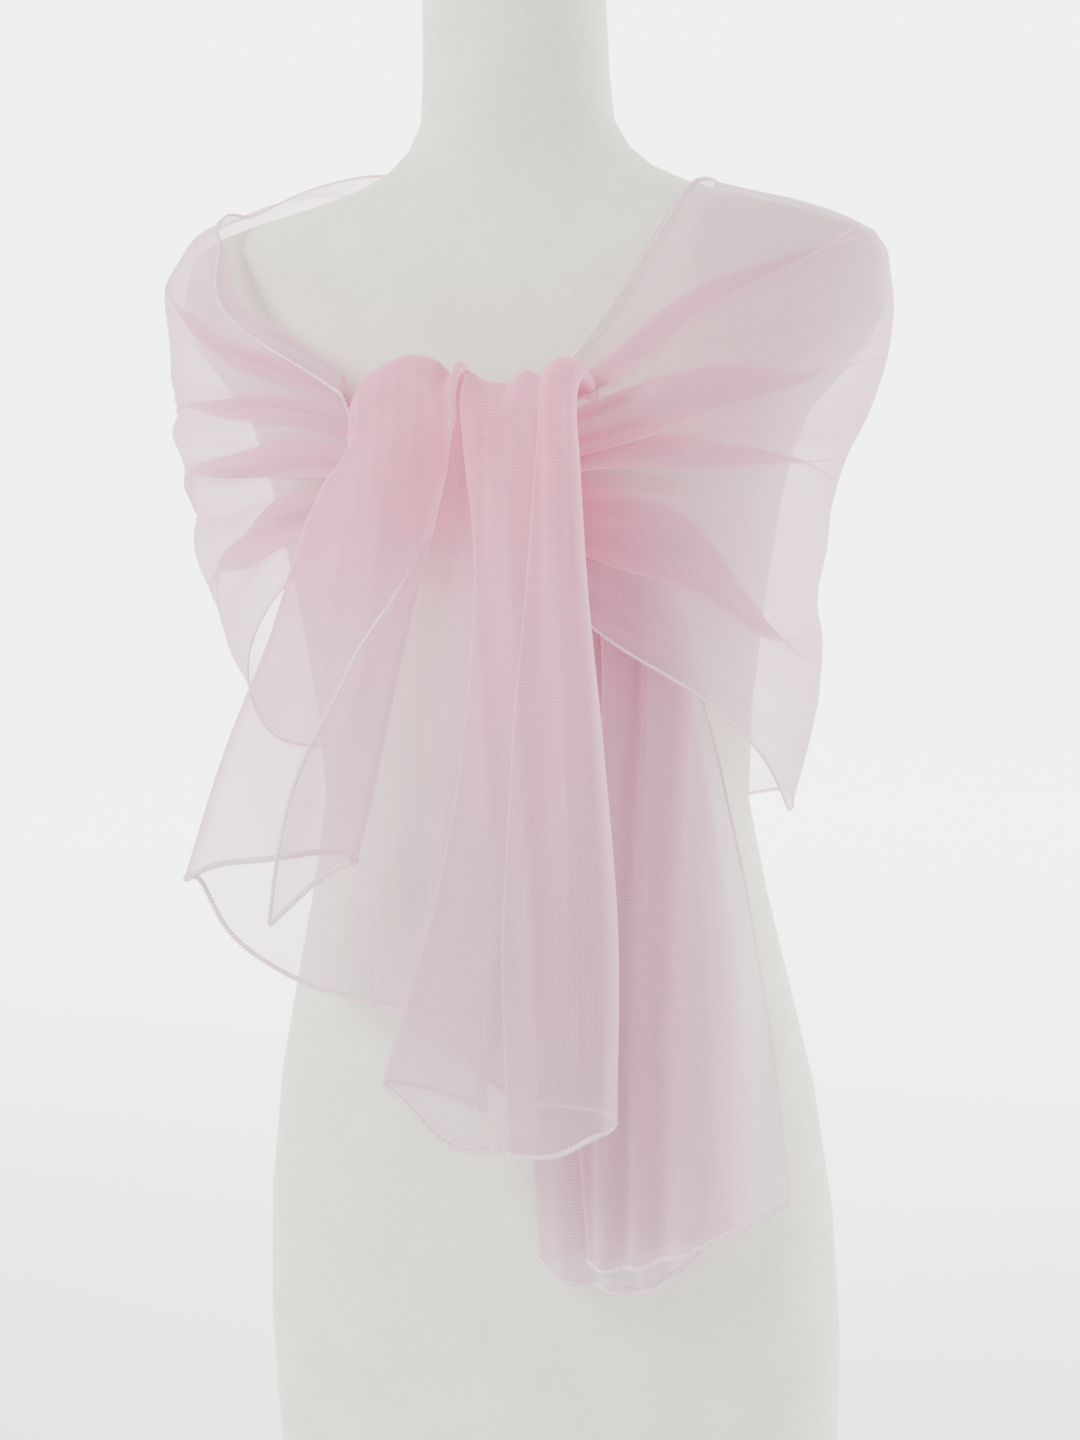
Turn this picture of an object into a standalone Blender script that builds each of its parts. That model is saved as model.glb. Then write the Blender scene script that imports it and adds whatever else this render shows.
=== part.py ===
"""Chiffon scarf worn as a wrap over a limbless dress form, half knotted at the chest.

Metres, +Z up. The origin is the centre of the form's base, on the floor. The form
faces -Y, and its left side is +X. The scarf is one long piece of sheer cloth: a fan
leaves each side of the knot, goes over a shoulder cap and round the back. One end
falls in front of the knot, the other hangs behind that fall, on the left side.
"""
import math

import bmesh
import bpy
import numpy as np
from mathutils import Vector
from mathutils.bvhtree import BVHTree

# The wall of the cloth, and the gaps to its neighbours
WALL = 0.0012
SEAM_GAP = 0.0003
WRAP_SEAM = 0.00056
FORM_CLEARANCE = 0.0009

# Dress form: height of each section, half width, depth to front and back, squareness
BASE_TOP = 0.0150
NECK_TOP = 0.9550
CAP_TOP = 0.9800
BODY_SIDES = 48
BODY_SECTIONS = (
    # name, height, half_width, front, back, squareness
    ("foot", 0.0153, 0.166, 0.094, 0.104, 2.3),
    ("thigh", 0.080, 0.170, 0.097, 0.110, 2.3),
    ("hip", 0.170, 0.172, 0.097, 0.113, 2.3),
    ("belly", 0.300, 0.160, 0.096, 0.104, 2.2),
    ("high hip", 0.390, 0.140, 0.092, 0.090, 2.2),
    ("waist", 0.480, 0.122, 0.084, 0.078, 2.2),
    ("rib", 0.570, 0.130, 0.092, 0.082, 2.2),
    ("bust", 0.650, 0.143, 0.103, 0.090, 2.3),
    ("chest", 0.690, 0.156, 0.098, 0.093, 2.3),
    ("armhole", 0.720, 0.183, 0.088, 0.091, 2.3),
    ("cap", 0.745, 0.1980, 0.078, 0.085, 2.4),
    ("cap top", 0.766, 0.1972, 0.068, 0.077, 2.4),
    ("shoulder", 0.7855, 0.1860, 0.060, 0.069, 2.3),
    ("slope", 0.7965, 0.155, 0.055, 0.063, 2.2),
    ("neck foot", 0.809, 0.104, 0.052, 0.058, 2.1),
    ("neck root", 0.823, 0.071, 0.051, 0.056, 2.0),
    ("neck low", 0.841, 0.0550, 0.050, 0.053, 2.0),
    ("neck", 0.880, 0.0500, 0.048, 0.050, 2.0),
    ("neck end", NECK_TOP, 0.0496, 0.048, 0.050, 2.0),
)
BODY_ROWS = 30

# Shares of the cut's width, top edge to bottom edge, at which each rib has a point
LINES = (0.0, 0.15, 0.27, 0.40, 0.55, 0.68, 0.84, 1.0)

# Ribs of the wrap, from the knot's left side round the back to its right side
RIBS = (
    # name, then a point (x, y, z) on each line
    ("left knot", (
        (0.053, -0.115, 0.712), (0.053, -0.116, 0.702), (0.053, -0.117, 0.692), (0.053, -0.117, 0.681),
        (0.053, -0.117, 0.668), (0.053, -0.117, 0.655), (0.053, -0.117, 0.636), (0.053, -0.116, 0.612),
    )),
    ("left breast", (
        (0.077, -0.106, 0.724), (0.079, -0.110, 0.717), (0.079, -0.113, 0.705), (0.079, -0.115, 0.690),
        (0.079, -0.116, 0.672), (0.079, -0.116, 0.652), (0.078, -0.116, 0.622), (0.077, -0.115, 0.591),
    )),
    ("left chest", (
        (0.096, -0.066, 0.770), (0.119, -0.082, 0.750), (0.131, -0.087, 0.731), (0.126, -0.094, 0.702),
        (0.126, -0.098, 0.668), (0.123, -0.099, 0.643), (0.121, -0.100, 0.594), (0.125, -0.098, 0.556),
    )),
    ("left strap", (
        (0.101, -0.038, 0.791), (0.163, -0.055, 0.772), (0.170, -0.060, 0.741), (0.163, -0.064, 0.705),
        (0.157, -0.066, 0.665), (0.147, -0.066, 0.618), (0.148, -0.060, 0.553), (0.144, -0.056, 0.521),
    )),
    ("left side", (
        (0.106, 0.004, 0.8105), (0.187, 0.006, 0.790), (0.199, 0.010, 0.762), (0.196, 0.013, 0.716),
        (0.170, 0.016, 0.655), (0.156, 0.014, 0.597), (0.160, 0.012, 0.541), (0.145, 0.008, 0.475),
    )),
    ("left blade", (
        (0.084, 0.060, 0.803), (0.140, 0.064, 0.792), (0.158, 0.076, 0.755), (0.154, 0.088, 0.710),
        (0.144, 0.092, 0.655), (0.138, 0.090, 0.595), (0.134, 0.086, 0.535), (0.124, 0.082, 0.468),
    )),
    ("spine", (
        (0.0, 0.078, 0.800), (0.0, 0.098, 0.765), (0.0, 0.110, 0.722), (0.0, 0.116, 0.676),
        (0.0, 0.117, 0.618), (0.0, 0.114, 0.562), (0.0, 0.110, 0.500), (0.0, 0.106, 0.440),
    )),
    ("right blade", (
        (-0.118, 0.060, 0.824), (-0.158, 0.064, 0.796), (-0.168, 0.076, 0.757), (-0.162, 0.088, 0.712),
        (-0.152, 0.092, 0.655), (-0.144, 0.090, 0.598), (-0.140, 0.086, 0.540), (-0.130, 0.080, 0.480),
    )),
    ("right side", (
        (-0.152, -0.002, 0.802), (-0.190, -0.008, 0.7870), (-0.206, -0.012, 0.758), (-0.201, -0.014, 0.712),
        (-0.203, -0.012, 0.672), (-0.195, -0.010, 0.634), (-0.191, -0.008, 0.585), (-0.160, -0.004, 0.505),
    )),
    ("right strap", (
        (-0.135, -0.045, 0.782), (-0.165, -0.050, 0.762), (-0.168, -0.054, 0.744), (-0.166, -0.058, 0.708),
        (-0.167, -0.060, 0.688), (-0.166, -0.060, 0.664), (-0.164, -0.056, 0.622), (-0.152, -0.048, 0.540),
    )),
    ("right chest", (
        (-0.119, -0.078, 0.757), (-0.124, -0.083, 0.738), (-0.129, -0.086, 0.724), (-0.127, -0.090, 0.706),
        (-0.127, -0.092, 0.688), (-0.129, -0.092, 0.670), (-0.124, -0.088, 0.633), (-0.130, -0.082, 0.575),
    )),
    ("right breast", (
        (-0.082, -0.098, 0.732), (-0.083, -0.102, 0.722), (-0.085, -0.105, 0.713), (-0.084, -0.108, 0.703),
        (-0.084, -0.110, 0.692), (-0.085, -0.111, 0.676), (-0.090, -0.108, 0.648), (-0.094, -0.102, 0.612),
    )),
    ("right knot", (
        (-0.047, -0.112, 0.716), (-0.047, -0.114, 0.709), (-0.047, -0.115, 0.702), (-0.047, -0.116, 0.695),
        (-0.047, -0.117, 0.686), (-0.047, -0.117, 0.675), (-0.047, -0.117, 0.657), (-0.047, -0.116, 0.636),
    )),
)
# How much of each rib's folds are laid, 1 at the knot
FOLD_STRENGTH = (1.0, 0.90, 0.52, 0.22, 0.05, 0.01, 0.0, 0.01, 0.05, 0.22, 0.52, 0.90, 1.0)

# Largest folds, laid at the knot: shares of the bundle where a fold starts and ends
LEFT_FOLDS = (
    # name, upper_edge, lower_edge
    ("strap fold", 0.15, 0.27),
    ("long fold", 0.28, 0.50),
    ("middle fold", 0.42, 0.55),
    ("low fold", 0.58, 0.82),
)
RIGHT_FOLDS = (
    ("strap fold", 0.16, 0.30),
    ("ridge fold", 0.36, 0.54),
    ("pinch fold", 0.60, 0.74),
    ("swag fold", 0.78, 0.92),
)
TURNED_IN = 0.09
LAYER_GAP = 0.0021
LAYER_SLANT = 0.26
EDGE_LIFT = 0.60
MIDDLE_COLUMNS = (3, 2, 1, 1, 1)
FOLD_TURN = 0.006
FIRST_LIFT = 0.02
FULL_LIFT = 0.27
ALONG_STEP = 0.002
ACROSS_STEP = 0.04

# Long swags on the back: share of the width, how far the ridge stands out, its half width
BACK_SWAGS = (
    # share, height, half_width
    (0.24, 0.0050, 0.075),
    (0.43, 0.0065, 0.085),
    (0.64, 0.0070, 0.095),
    (0.85, 0.0060, 0.080),
)
SWAG_REACH = 0.22

# Knot: sections along the bundle, from the right end to the left end
KNOT_SECTIONS = (
    # x, y, z, half_height, half_depth
    (-0.0465, -0.1255, 0.674, 0.039, 0.0150),
    (-0.0380, -0.1275, 0.674, 0.040, 0.0190),
    (-0.0150, -0.1290, 0.673, 0.040, 0.0215),
    (0.0150, -0.1290, 0.669, 0.044, 0.0220),
    (0.0420, -0.1285, 0.662, 0.050, 0.0215),
    (0.0524, -0.1280, 0.660, 0.051, 0.0180),
)
KNOT_ROWS = 13
KNOT_SIDES = 36
KNOT_PLEATS = 9
KNOT_TWIST = 14.0
PLEAT_DEPTH = 0.0013

# How far a hanging fold's turn stands past its edge, in gaps between layers
FOLD_ROUND = 0.25

# Front fall: the roll over the knot, then fractions of the drop with an x each
FALL_ROLL = (
    # y, z
    (-0.1362, 0.7158),
    (-0.1415, 0.7180),
    (-0.1480, 0.7162),
    (-0.1530, 0.7090),
)
FALL_START = 0.698
FALL_DROP = (0.0, 0.20, 0.45, 0.72, 1.0)
FALL_DEPTH = (-0.1531, -0.1531, -0.1490, -0.1430, -0.1400)
FALL_LINES = (
    # name, kind, x at each fraction of the drop, hem_z
    ("wing edge", "edge", (0.004, 0.002, -0.035, -0.071, -0.088), 0.440),
    ("wing fold", "turn", (0.021, 0.010, -0.008, -0.026, -0.042), 0.476),
    ("outer pass", "pass", (-0.004, -0.024, -0.046, -0.070, -0.094), 0.472),
    ("outer fold", "turn", (-0.031, -0.058, -0.082, -0.114, -0.141), 0.457),
    ("hem corner", "pass", (-0.026, -0.052, -0.074, -0.104, -0.126), 0.427),
    ("hem low", "pass", (-0.018, -0.038, -0.056, -0.076, -0.092), 0.403),
    ("hem middle", "pass", (0.008, -0.004, -0.012, -0.020, -0.024), 0.385),
    ("hem back", "pass", (0.040, 0.040, 0.040, 0.040, 0.034), 0.350),
    ("left edge fold", "turn", (0.080, 0.083, 0.089, 0.093, 0.090), 0.345),
    ("front pass", "pass", (0.075, 0.074, 0.073, 0.071, 0.070), 0.333),
    ("flap fold", "turn", (0.066, 0.060, 0.050, 0.042, 0.043), 0.329),
    ("inner fold", "turn", (0.075, 0.077, 0.074, 0.063, 0.049), 0.329),
    ("centre pass", "pass", (0.048, 0.052, 0.046, 0.030, 0.008), 0.327),
    ("centre fold", "turn", (0.025, 0.031, 0.022, 0.001, -0.031), 0.354),
    ("strip edge", "edge", (0.044, 0.046, 0.040, 0.028, 0.024), 0.345),
)
FALL_LAYERS = (
    # after line, metres in front of the back layer at the top, and at the hem
    ("wing edge", 0.0050, 0.0240),
    ("wing fold", 0.0025, 0.0130),
    ("outer fold", 0.0, 0.0),
    ("left edge fold", 0.0084, 0.0270),
    ("flap fold", 0.0063, 0.0215),
    ("inner fold", 0.0042, 0.0150),
    ("centre fold", 0.0021, 0.0080),
)
FALL_ROWS = 13

# Under tail: it leaves the knot's left end behind the fan and turns down
TAIL_STEPS = (0.0, 0.10, 0.24, 0.42, 0.70, 1.0)
TAIL_DEPTH = (-0.1047, -0.0995, -0.0900, -0.0910, -0.1020, -0.1060)
TAIL_TUCK = 0.35
TAIL_TUCK_FROM = 0.070
TAIL_LINES = (
    # name, kind, (x, z) at each step
    ("outer edge", "edge", (
        (0.0532, 0.684), (0.082, 0.668), (0.103, 0.622), (0.125, 0.554), (0.160, 0.429), (0.177, 0.302),
    )),
    ("front pass", "pass", (
        (0.0532, 0.668), (0.076, 0.650), (0.091, 0.604), (0.105, 0.540), (0.124, 0.410), (0.128, 0.273),
    )),
    ("front fold", "turn", (
        (0.0532, 0.646), (0.067, 0.628), (0.073, 0.588), (0.074, 0.530), (0.063, 0.400), (0.068, 0.254),
    )),
    ("second pass", "pass", (
        (0.0532, 0.658), (0.073, 0.640), (0.084, 0.597), (0.093, 0.535), (0.100, 0.405), (0.112, 0.268),
    )),
    ("second fold", "turn", (
        (0.0532, 0.676), (0.080, 0.660), (0.098, 0.614), (0.117, 0.550), (0.145, 0.409), (0.152, 0.282),
    )),
    ("third pass", "pass", (
        (0.0532, 0.656), (0.071, 0.638), (0.080, 0.595), (0.085, 0.530), (0.092, 0.400), (0.097, 0.240),
    )),
    ("inner fold", "turn", (
        (0.0532, 0.632), (0.060, 0.610), (0.057, 0.575), (0.047, 0.520), (0.032, 0.400), (0.036, 0.245),
    )),
    ("back pass", "pass", (
        (0.0532, 0.652), (0.068, 0.632), (0.077, 0.590), (0.081, 0.530), (0.082, 0.400), (0.080, 0.262),
    )),
    ("back edge", "edge", (
        (0.0532, 0.670), (0.076, 0.654), (0.091, 0.606), (0.108, 0.545), (0.128, 0.410), (0.130, 0.274),
    )),
)
TAIL_LAYERS = (
    ("outer edge", 0.0070, 0.0200),
    ("front fold", 0.0047, 0.0140),
    ("second fold", 0.0024, 0.0080),
    ("inner fold", 0.0, 0.0020),
)
TAIL_ROWS = 14
TAIL_CROWDING = 1.25
TAIL_FREE_FROM = 0.30
TAIL_FREE_OVER = 0.35

CHIFFON = ("chiffon", (0.86, 0.62, 0.68), 0.75, 0.0)
JERSEY = ("cotton jersey", (0.80, 0.77, 0.70), 0.9, 0.0)
BEECH = ("oiled beech", (0.62, 0.43, 0.25), 0.5, 0.0)


def clear_scene():
    """Start from an empty scene."""
    for old in list(bpy.data.objects):
        bpy.data.objects.remove(old, do_unlink=True)


def finish(name, mesh, look):
    """Link a mesh as a named object with its own material."""
    mesh.name = name
    made = bpy.data.objects.new(name, mesh)
    bpy.context.collection.objects.link(made)
    slot, colour, roughness, metallic = look
    material = bpy.data.materials.new(name + " " + slot)
    material.use_nodes = True
    shader = material.node_tree.nodes["Principled BSDF"]
    shader.inputs["Base Color"].default_value = (*colour, 1.0)
    shader.inputs["Roughness"].default_value = roughness
    shader.inputs["Metallic"].default_value = metallic
    mesh.materials.append(material)
    mesh.shade_smooth()
    mesh.set_sharp_from_angle(angle=math.radians(50))
    return made


def smooth(keys, rows, at):
    """Read a table of rows at one place, along a smooth curve through them."""
    keys = np.asarray(keys, float)
    rows = np.asarray(rows, float)
    slopes = np.gradient(rows, keys, axis=0)
    i = int(np.clip(np.searchsorted(keys, at) - 1, 0, len(keys) - 2))
    span = keys[i + 1] - keys[i]
    t = (at - keys[i]) / span
    start = (1 + 2 * t) * (1 - t) ** 2 * rows[i] + t * (1 - t) ** 2 * span * slopes[i]
    end = t * t * (3 - 2 * t) * rows[i + 1] + t * t * (t - 1) * span * slopes[i + 1]
    return start + end


def ease(value):
    """Rise smoothly from 0 to 1."""
    t = min(max(value, 0.0), 1.0)
    return t * t * (3 - 2 * t)


def loft(rings):
    """A closed mesh through rings of points, with a flat cap on each end."""
    shape = bmesh.new()
    loops = [[shape.verts.new(point) for point in ring] for ring in rings]
    count = len(loops[0])
    for low, high in zip(loops, loops[1:]):
        for i in range(count):
            j = (i + 1) % count
            shape.faces.new((low[i], low[j], high[j], high[i]))
    shape.faces.new(list(reversed(loops[0])))
    shape.faces.new(loops[-1])
    bmesh.ops.recalc_face_normals(shape, faces=shape.faces)
    mesh = bpy.data.meshes.new("loft")
    shape.to_mesh(mesh)
    shape.free()
    return mesh


def body_ring(section, grow=0.0):
    """Points round one section of the dress form."""
    height, half_width, front, back, squareness = section
    ring = []
    for i in range(BODY_SIDES):
        turn = 2 * math.pi * i / BODY_SIDES
        c, s = math.cos(turn), math.sin(turn)
        depth = front if s < 0 else back
        x = (half_width + grow) * math.copysign(abs(c) ** (2 / squareness), c)
        y = (depth + grow) * math.copysign(abs(s) ** (2 / squareness), s)
        ring.append((x, y, height))
    return ring


def body_levels():
    """Heights of the form's rings, closer where its shape turns fast."""
    heights = np.array([row[1] for row in BODY_SECTIONS])
    spread = np.linspace(0, len(heights) - 1, BODY_ROWS)
    return np.interp(spread, range(len(heights)), heights)


def make_form():
    """The limbless body, its neck cap and its base plate."""
    keys = [row[1] for row in BODY_SECTIONS]
    rows = [row[1:] for row in BODY_SECTIONS]
    rings = [body_ring(smooth(keys, rows, z)) for z in body_levels()]
    body = finish("form_body", loft(rings), JERSEY)

    neck = BODY_SECTIONS[-1]
    cap_profile = (
        # height above the neck, growth past it
        (SEAM_GAP, -0.0010),
        (0.0040, 0.0020),
        (0.0120, 0.0030),
        (0.0190, 0.0000),
        (0.0230, -0.0070),
        (CAP_TOP - NECK_TOP, -0.0180),
    )
    cap_rings = [body_ring((NECK_TOP + up, *neck[2:]), grow) for up, grow in cap_profile]
    finish("form_neck_cap", loft(cap_rings), BEECH)

    foot = BODY_SECTIONS[0]
    plate_profile = (
        # height, growth past the body's foot
        (0.0, -0.0060),
        (0.0020, -0.0040),
        (BASE_TOP - 0.0020, -0.0040),
        (BASE_TOP, -0.0060),
    )
    plate_rings = [body_ring((up, *foot[2:]), grow) for up, grow in plate_profile]
    finish("form_base", loft(plate_rings), BEECH)
    return body


def turning(points):
    """The direction of travel at each row of points, halving each corner."""
    steps = np.diff(points, axis=0)
    steps /= np.linalg.norm(steps, axis=2)[:, :, None] + 1e-9
    return np.concatenate((steps[:1], steps[:-1] + steps[1:], steps[-1:]))


def grid_normals(points):
    """The outward direction at each point of a grid of cloth."""
    along = turning(points)
    across = turning(points.transpose(1, 0, 2)).transpose(1, 0, 2)
    normals = np.cross(across, along)
    return normals / np.linalg.norm(normals, axis=2)[:, :, None]


def cloth_wall(name, grid, before=0, after=0):
    """Thicken a grid of points into one closed wall of cloth.

    Rows before and after the piece only steer its ends, and are left out of it.
    """
    points = np.array([[tuple(point) for point in row] for row in grid])
    normals = grid_normals(points)
    end = len(points) - after
    points = points[before:end]
    normals = normals[before:end]
    shape = bmesh.new()
    front = [[shape.verts.new(point) for point in row] for row in points + normals * WALL / 2]
    back = [[shape.verts.new(point) for point in row] for row in points - normals * WALL / 2]
    for k in range(len(points) - 1):
        for i in range(len(points[0]) - 1):
            one = np.linalg.norm(points[k][i] - points[k + 1][i + 1])
            other = np.linalg.norm(points[k][i + 1] - points[k + 1][i])
            for face in (front, back):
                a, b, c, d = face[k][i], face[k][i + 1], face[k + 1][i + 1], face[k + 1][i]
                halves = ((a, b, c), (a, c, d)) if one < other else ((a, b, d), (b, c, d))
                for half in halves:
                    shape.faces.new(half if face is front else half[::-1])
    rims = (
        ([row[0] for row in front], [row[0] for row in back]),
        ([row[-1] for row in back], [row[-1] for row in front]),
        (front[-1], back[-1]),
        (back[0], front[0]),
    )
    for one, other in rims:
        for i in range(len(one) - 1):
            shape.faces.new((one[i], one[i + 1], other[i + 1], other[i]))
    bmesh.ops.triangulate(shape, faces=shape.faces)
    bmesh.ops.recalc_face_normals(shape, faces=shape.faces)
    mesh = bpy.data.meshes.new("wall")
    shape.to_mesh(mesh)
    shape.free()
    return finish(name, mesh, CHIFFON)


def rib_places():
    """Distance along the wrap of each rib, from the mean step between ribs."""
    points = np.array([row[1] for row in RIBS])
    steps = np.linalg.norm(np.diff(points, axis=0), axis=2).mean(axis=1)
    return np.concatenate(([0.0], np.cumsum(steps)))


def fold_columns(folds):
    """Columns of cloth across the width: share laid flat, share in the bundle, layer, turn.

    The cloth goes down to each fold's lower edge, back up to its upper edge and on.
    Two columns meet at each edge, the one before the turn and the one after it.
    """
    stops = [TURNED_IN, 0.0]
    for _, upper, lower in folds:
        stops += [lower, upper]
    stops.append(1.0)
    lengths = np.abs(np.diff(stops))
    flat = np.concatenate(([0.0], np.cumsum(lengths))) / lengths.sum()
    final = len(lengths) - 1
    columns = []
    for layer in range(len(lengths)):
        upward = layer % 2 == 0
        slant = LAYER_SLANT if upward else 0.0
        steps = 1 if upward else MIDDLE_COLUMNS[layer // 2] + 1
        for k in range(steps + 1):
            t = k / steps
            turn = 0
            if k == 0 and layer:
                turn = 1
            if k == steps and layer < final:
                turn = -1
            laid = flat[layer] + (flat[layer + 1] - flat[layer]) * t
            bundled = stops[layer] + (stops[layer + 1] - stops[layer]) * t
            columns.append((laid, bundled, layer + slant * (2 * t - 1), turn))
    columns[0] = (0.0, TURNED_IN, -EDGE_LIFT, 0)
    return columns


def wrap_surface(place, share):
    """A point of the unfolded wrap, at a distance round it and a share of its width."""
    places = rib_places()
    points = [row[1] for row in RIBS]
    return smooth(LINES, smooth(places, points, place), share)


def wrap_point(tree, place, column, layers):
    """A point of the folded wrap, its innermost layer just clear of the form."""
    flat, bundled, layer, turn = column
    strength = float(np.clip(smooth(rib_places(), FOLD_STRENGTH, place), 0.0, 1.0))
    raised = ease((strength - FIRST_LIFT) / (FULL_LIFT - FIRST_LIFT))
    flat += turn * FOLD_TURN * (1 - raised)
    share = (1 - strength) * flat + strength * bundled
    point = wrap_surface(place, share)
    along = wrap_surface(place + ALONG_STEP, share) - wrap_surface(place - ALONG_STEP, share)
    lower = wrap_surface(place, min(share + ACROSS_STEP, 1.0))
    down = lower - wrap_surface(place, max(share - ACROSS_STEP, 0.0))
    out = Vector(np.cross(down, along)).normalized()
    lift = raised * (layers - 1 - layer) * LAYER_GAP
    length = rib_places()[-1]
    behind = ease(1 - abs(place / length - 0.5) / SWAG_REACH)
    for centre, height, half_width in BACK_SWAGS:
        lift += behind * height * ease(1 - abs(share - centre) / half_width)
    return clear_of(tree, Vector(point), FORM_CLEARANCE + WALL / 2) + out * lift


def clear_of(tree, point, clearance):
    """Move a point out of the form until it is clear of it."""
    near, normal, _, distance = tree.find_nearest(point)
    inside = (point - near).dot(normal) < 0
    if inside or distance < clearance:
        return near + normal * clearance
    return point


def make_wrap(tree):
    """The wrap in three stretches: over each shoulder, and round the back."""
    places = rib_places()
    names = [row[0] for row in RIBS]
    left_seam = places[names.index("left blade")]
    right_seam = places[names.index("right blade")]
    left = fold_columns(LEFT_FOLDS)
    right = fold_columns(RIGHT_FOLDS)
    stretches = (
        # node, from, to, rows, columns at each end, steering rows at each end
        ("scarf_left_shoulder", places[0], left_seam - WRAP_SEAM / 2, 25, left, left, 0, 1),
        ("scarf_back", left_seam + WRAP_SEAM / 2, right_seam - WRAP_SEAM / 2, 19, left, right, 1, 1),
        ("scarf_right_shoulder", right_seam + WRAP_SEAM / 2, places[-1], 25, right, right, 1, 0),
    )
    for name, start, end, rows, first, last, before, after in stretches:
        layers = round(first[-1][2]) + 1
        step = (end - start) / (rows - 1)
        grid = []
        for k in range(-before, rows + after):
            part = min(max(k / (rows - 1), 0.0), 1.0)
            place = start + k * step
            row = []
            for one, other in zip(first, last):
                column = tuple(a + (b - a) * part for a, b in zip(one, other))
                row.append(wrap_point(tree, place, column, layers))
            grid.append(row)
        for row, kept, rib in ((grid[0], before, RIBS[0]), (grid[-1], after, RIBS[-1])):
            if not kept:
                for point in row:
                    point.x = rib[1][0][0]
        cloth_wall(name, grid, before, after)


def make_knot():
    """The gathered bundle that the front fall covers."""
    keys = [row[0] for row in KNOT_SECTIONS]
    rings = []
    for x in np.linspace(keys[0], keys[-1], KNOT_ROWS):
        _, y, z, half_height, half_depth = smooth(keys, KNOT_SECTIONS, x)
        ring = []
        for i in range(KNOT_SIDES):
            turn = 2 * math.pi * i / KNOT_SIDES
            pleat = PLEAT_DEPTH * math.cos(KNOT_PLEATS * turn + KNOT_TWIST * x)
            up = (half_height + pleat) * math.cos(turn)
            out = (half_depth + pleat) * math.sin(turn)
            ring.append((x, y - out, z + up))
        rings.append(ring)
    finish("scarf_knot", loft(rings), CHIFFON)


def hanging_columns(lines, paths):
    """Columns of a hanging end: each has its path, its layer and its place at a fold."""
    columns = []
    layer = 0
    for i, (row, path) in enumerate(zip(lines, paths)):
        if row[1] == "turn":
            before = layer
            layer += 1
            side = 1.0 if np.mean(path[:, 0]) > np.mean(paths[i - 1][:, 0]) else -1.0
            columns.append((path, before, before, -side))
            columns.append((path, before, layer, side))
            columns.append((path, layer, layer, -side))
        else:
            columns.append((path, layer, layer, 0.0))
    return columns


def hanging_grid(columns, layers, progress, depths):
    """Points of a hanging end, row by row, with round turns at its folds."""
    grid = []
    for k, t in enumerate(progress):
        row = []
        for path, first, second, side in columns:
            x, z = path[k]
            near = layers[first][1] + (layers[first][2] - layers[first][1]) * t
            far = layers[second][1] + (layers[second][2] - layers[second][1]) * t
            turn = 0.0
            if side:
                gap = abs(layers[max(first, second)][1] - layers[max(first, second) - 1][1]) * (1 - t)
                gap += abs(layers[max(first, second)][2] - layers[max(first, second) - 1][2]) * t
                turn = side * FOLD_ROUND * gap
            row.append(Vector((x + turn, depths[k] - (near + far) / 2, z)))
        grid.append(row)
    return grid


def make_front_fall():
    """The end that rolls over the knot and falls in front of it."""
    drop = np.linspace(0, 1, FALL_ROWS)
    progress = [0.0] * len(FALL_ROLL) + list(drop)
    depths = [row[0] for row in FALL_ROLL]
    depths += [float(smooth(FALL_DROP, FALL_DEPTH, t)) for t in drop]
    paths = []
    for _, _, across, hem in FALL_LINES:
        path = [(across[0], z) for _, z in FALL_ROLL]
        path += [(float(smooth(FALL_DROP, across, t)), FALL_START + (hem - FALL_START) * t) for t in drop]
        paths.append(np.array(path))
    columns = hanging_columns(FALL_LINES, paths)
    grid = hanging_grid(columns, FALL_LAYERS, progress, depths)
    route = [*FALL_ROLL, (FALL_DEPTH[0], FALL_START)]
    for k in range(len(FALL_ROLL)):
        before = route[max(k - 1, 0)]
        along = Vector((0.0, route[k + 1][0] - before[0], route[k + 1][1] - before[1])).normalized()
        for point in grid[k]:
            layer_lift = depths[k] - point.y
            point.y = depths[k] + layer_lift * along.z
            point.z -= layer_lift * along.y
    cloth_wall("scarf_front_fall", grid)


def make_under_tail():
    """The end that hangs behind the front fall."""
    progress = list(np.linspace(0, 1, TAIL_ROWS) ** TAIL_CROWDING)
    depths = [float(smooth(TAIL_STEPS, TAIL_DEPTH, t)) for t in progress]
    paths = [np.array([smooth(TAIL_STEPS, row[2], t) for t in progress]) for row in TAIL_LINES]
    columns = hanging_columns(TAIL_LINES, paths)
    grid = hanging_grid(columns, TAIL_LAYERS, progress, depths)
    for t, row in zip(progress, grid):
        held = 1 - ease((t - TAIL_FREE_FROM) / TAIL_FREE_OVER)
        for point in row:
            point.y += TAIL_TUCK * max(0.0, point.x - TAIL_TUCK_FROM) * held
    cloth_wall("scarf_under_tail", grid)


def main():
    clear_scene()
    body = make_form()
    shape = bmesh.new()
    shape.from_mesh(body.data)
    tree = BVHTree.FromBMesh(shape)
    shape.free()
    make_wrap(tree)
    make_knot()
    make_front_fall()
    make_under_tail()


main()
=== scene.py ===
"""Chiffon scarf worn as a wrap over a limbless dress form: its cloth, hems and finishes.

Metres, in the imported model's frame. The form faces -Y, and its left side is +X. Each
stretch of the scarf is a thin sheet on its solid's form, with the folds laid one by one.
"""
import math

import bpy
import numpy as np
from mathutils import Matrix, Vector
from mathutils.bvhtree import BVHTree


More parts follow.
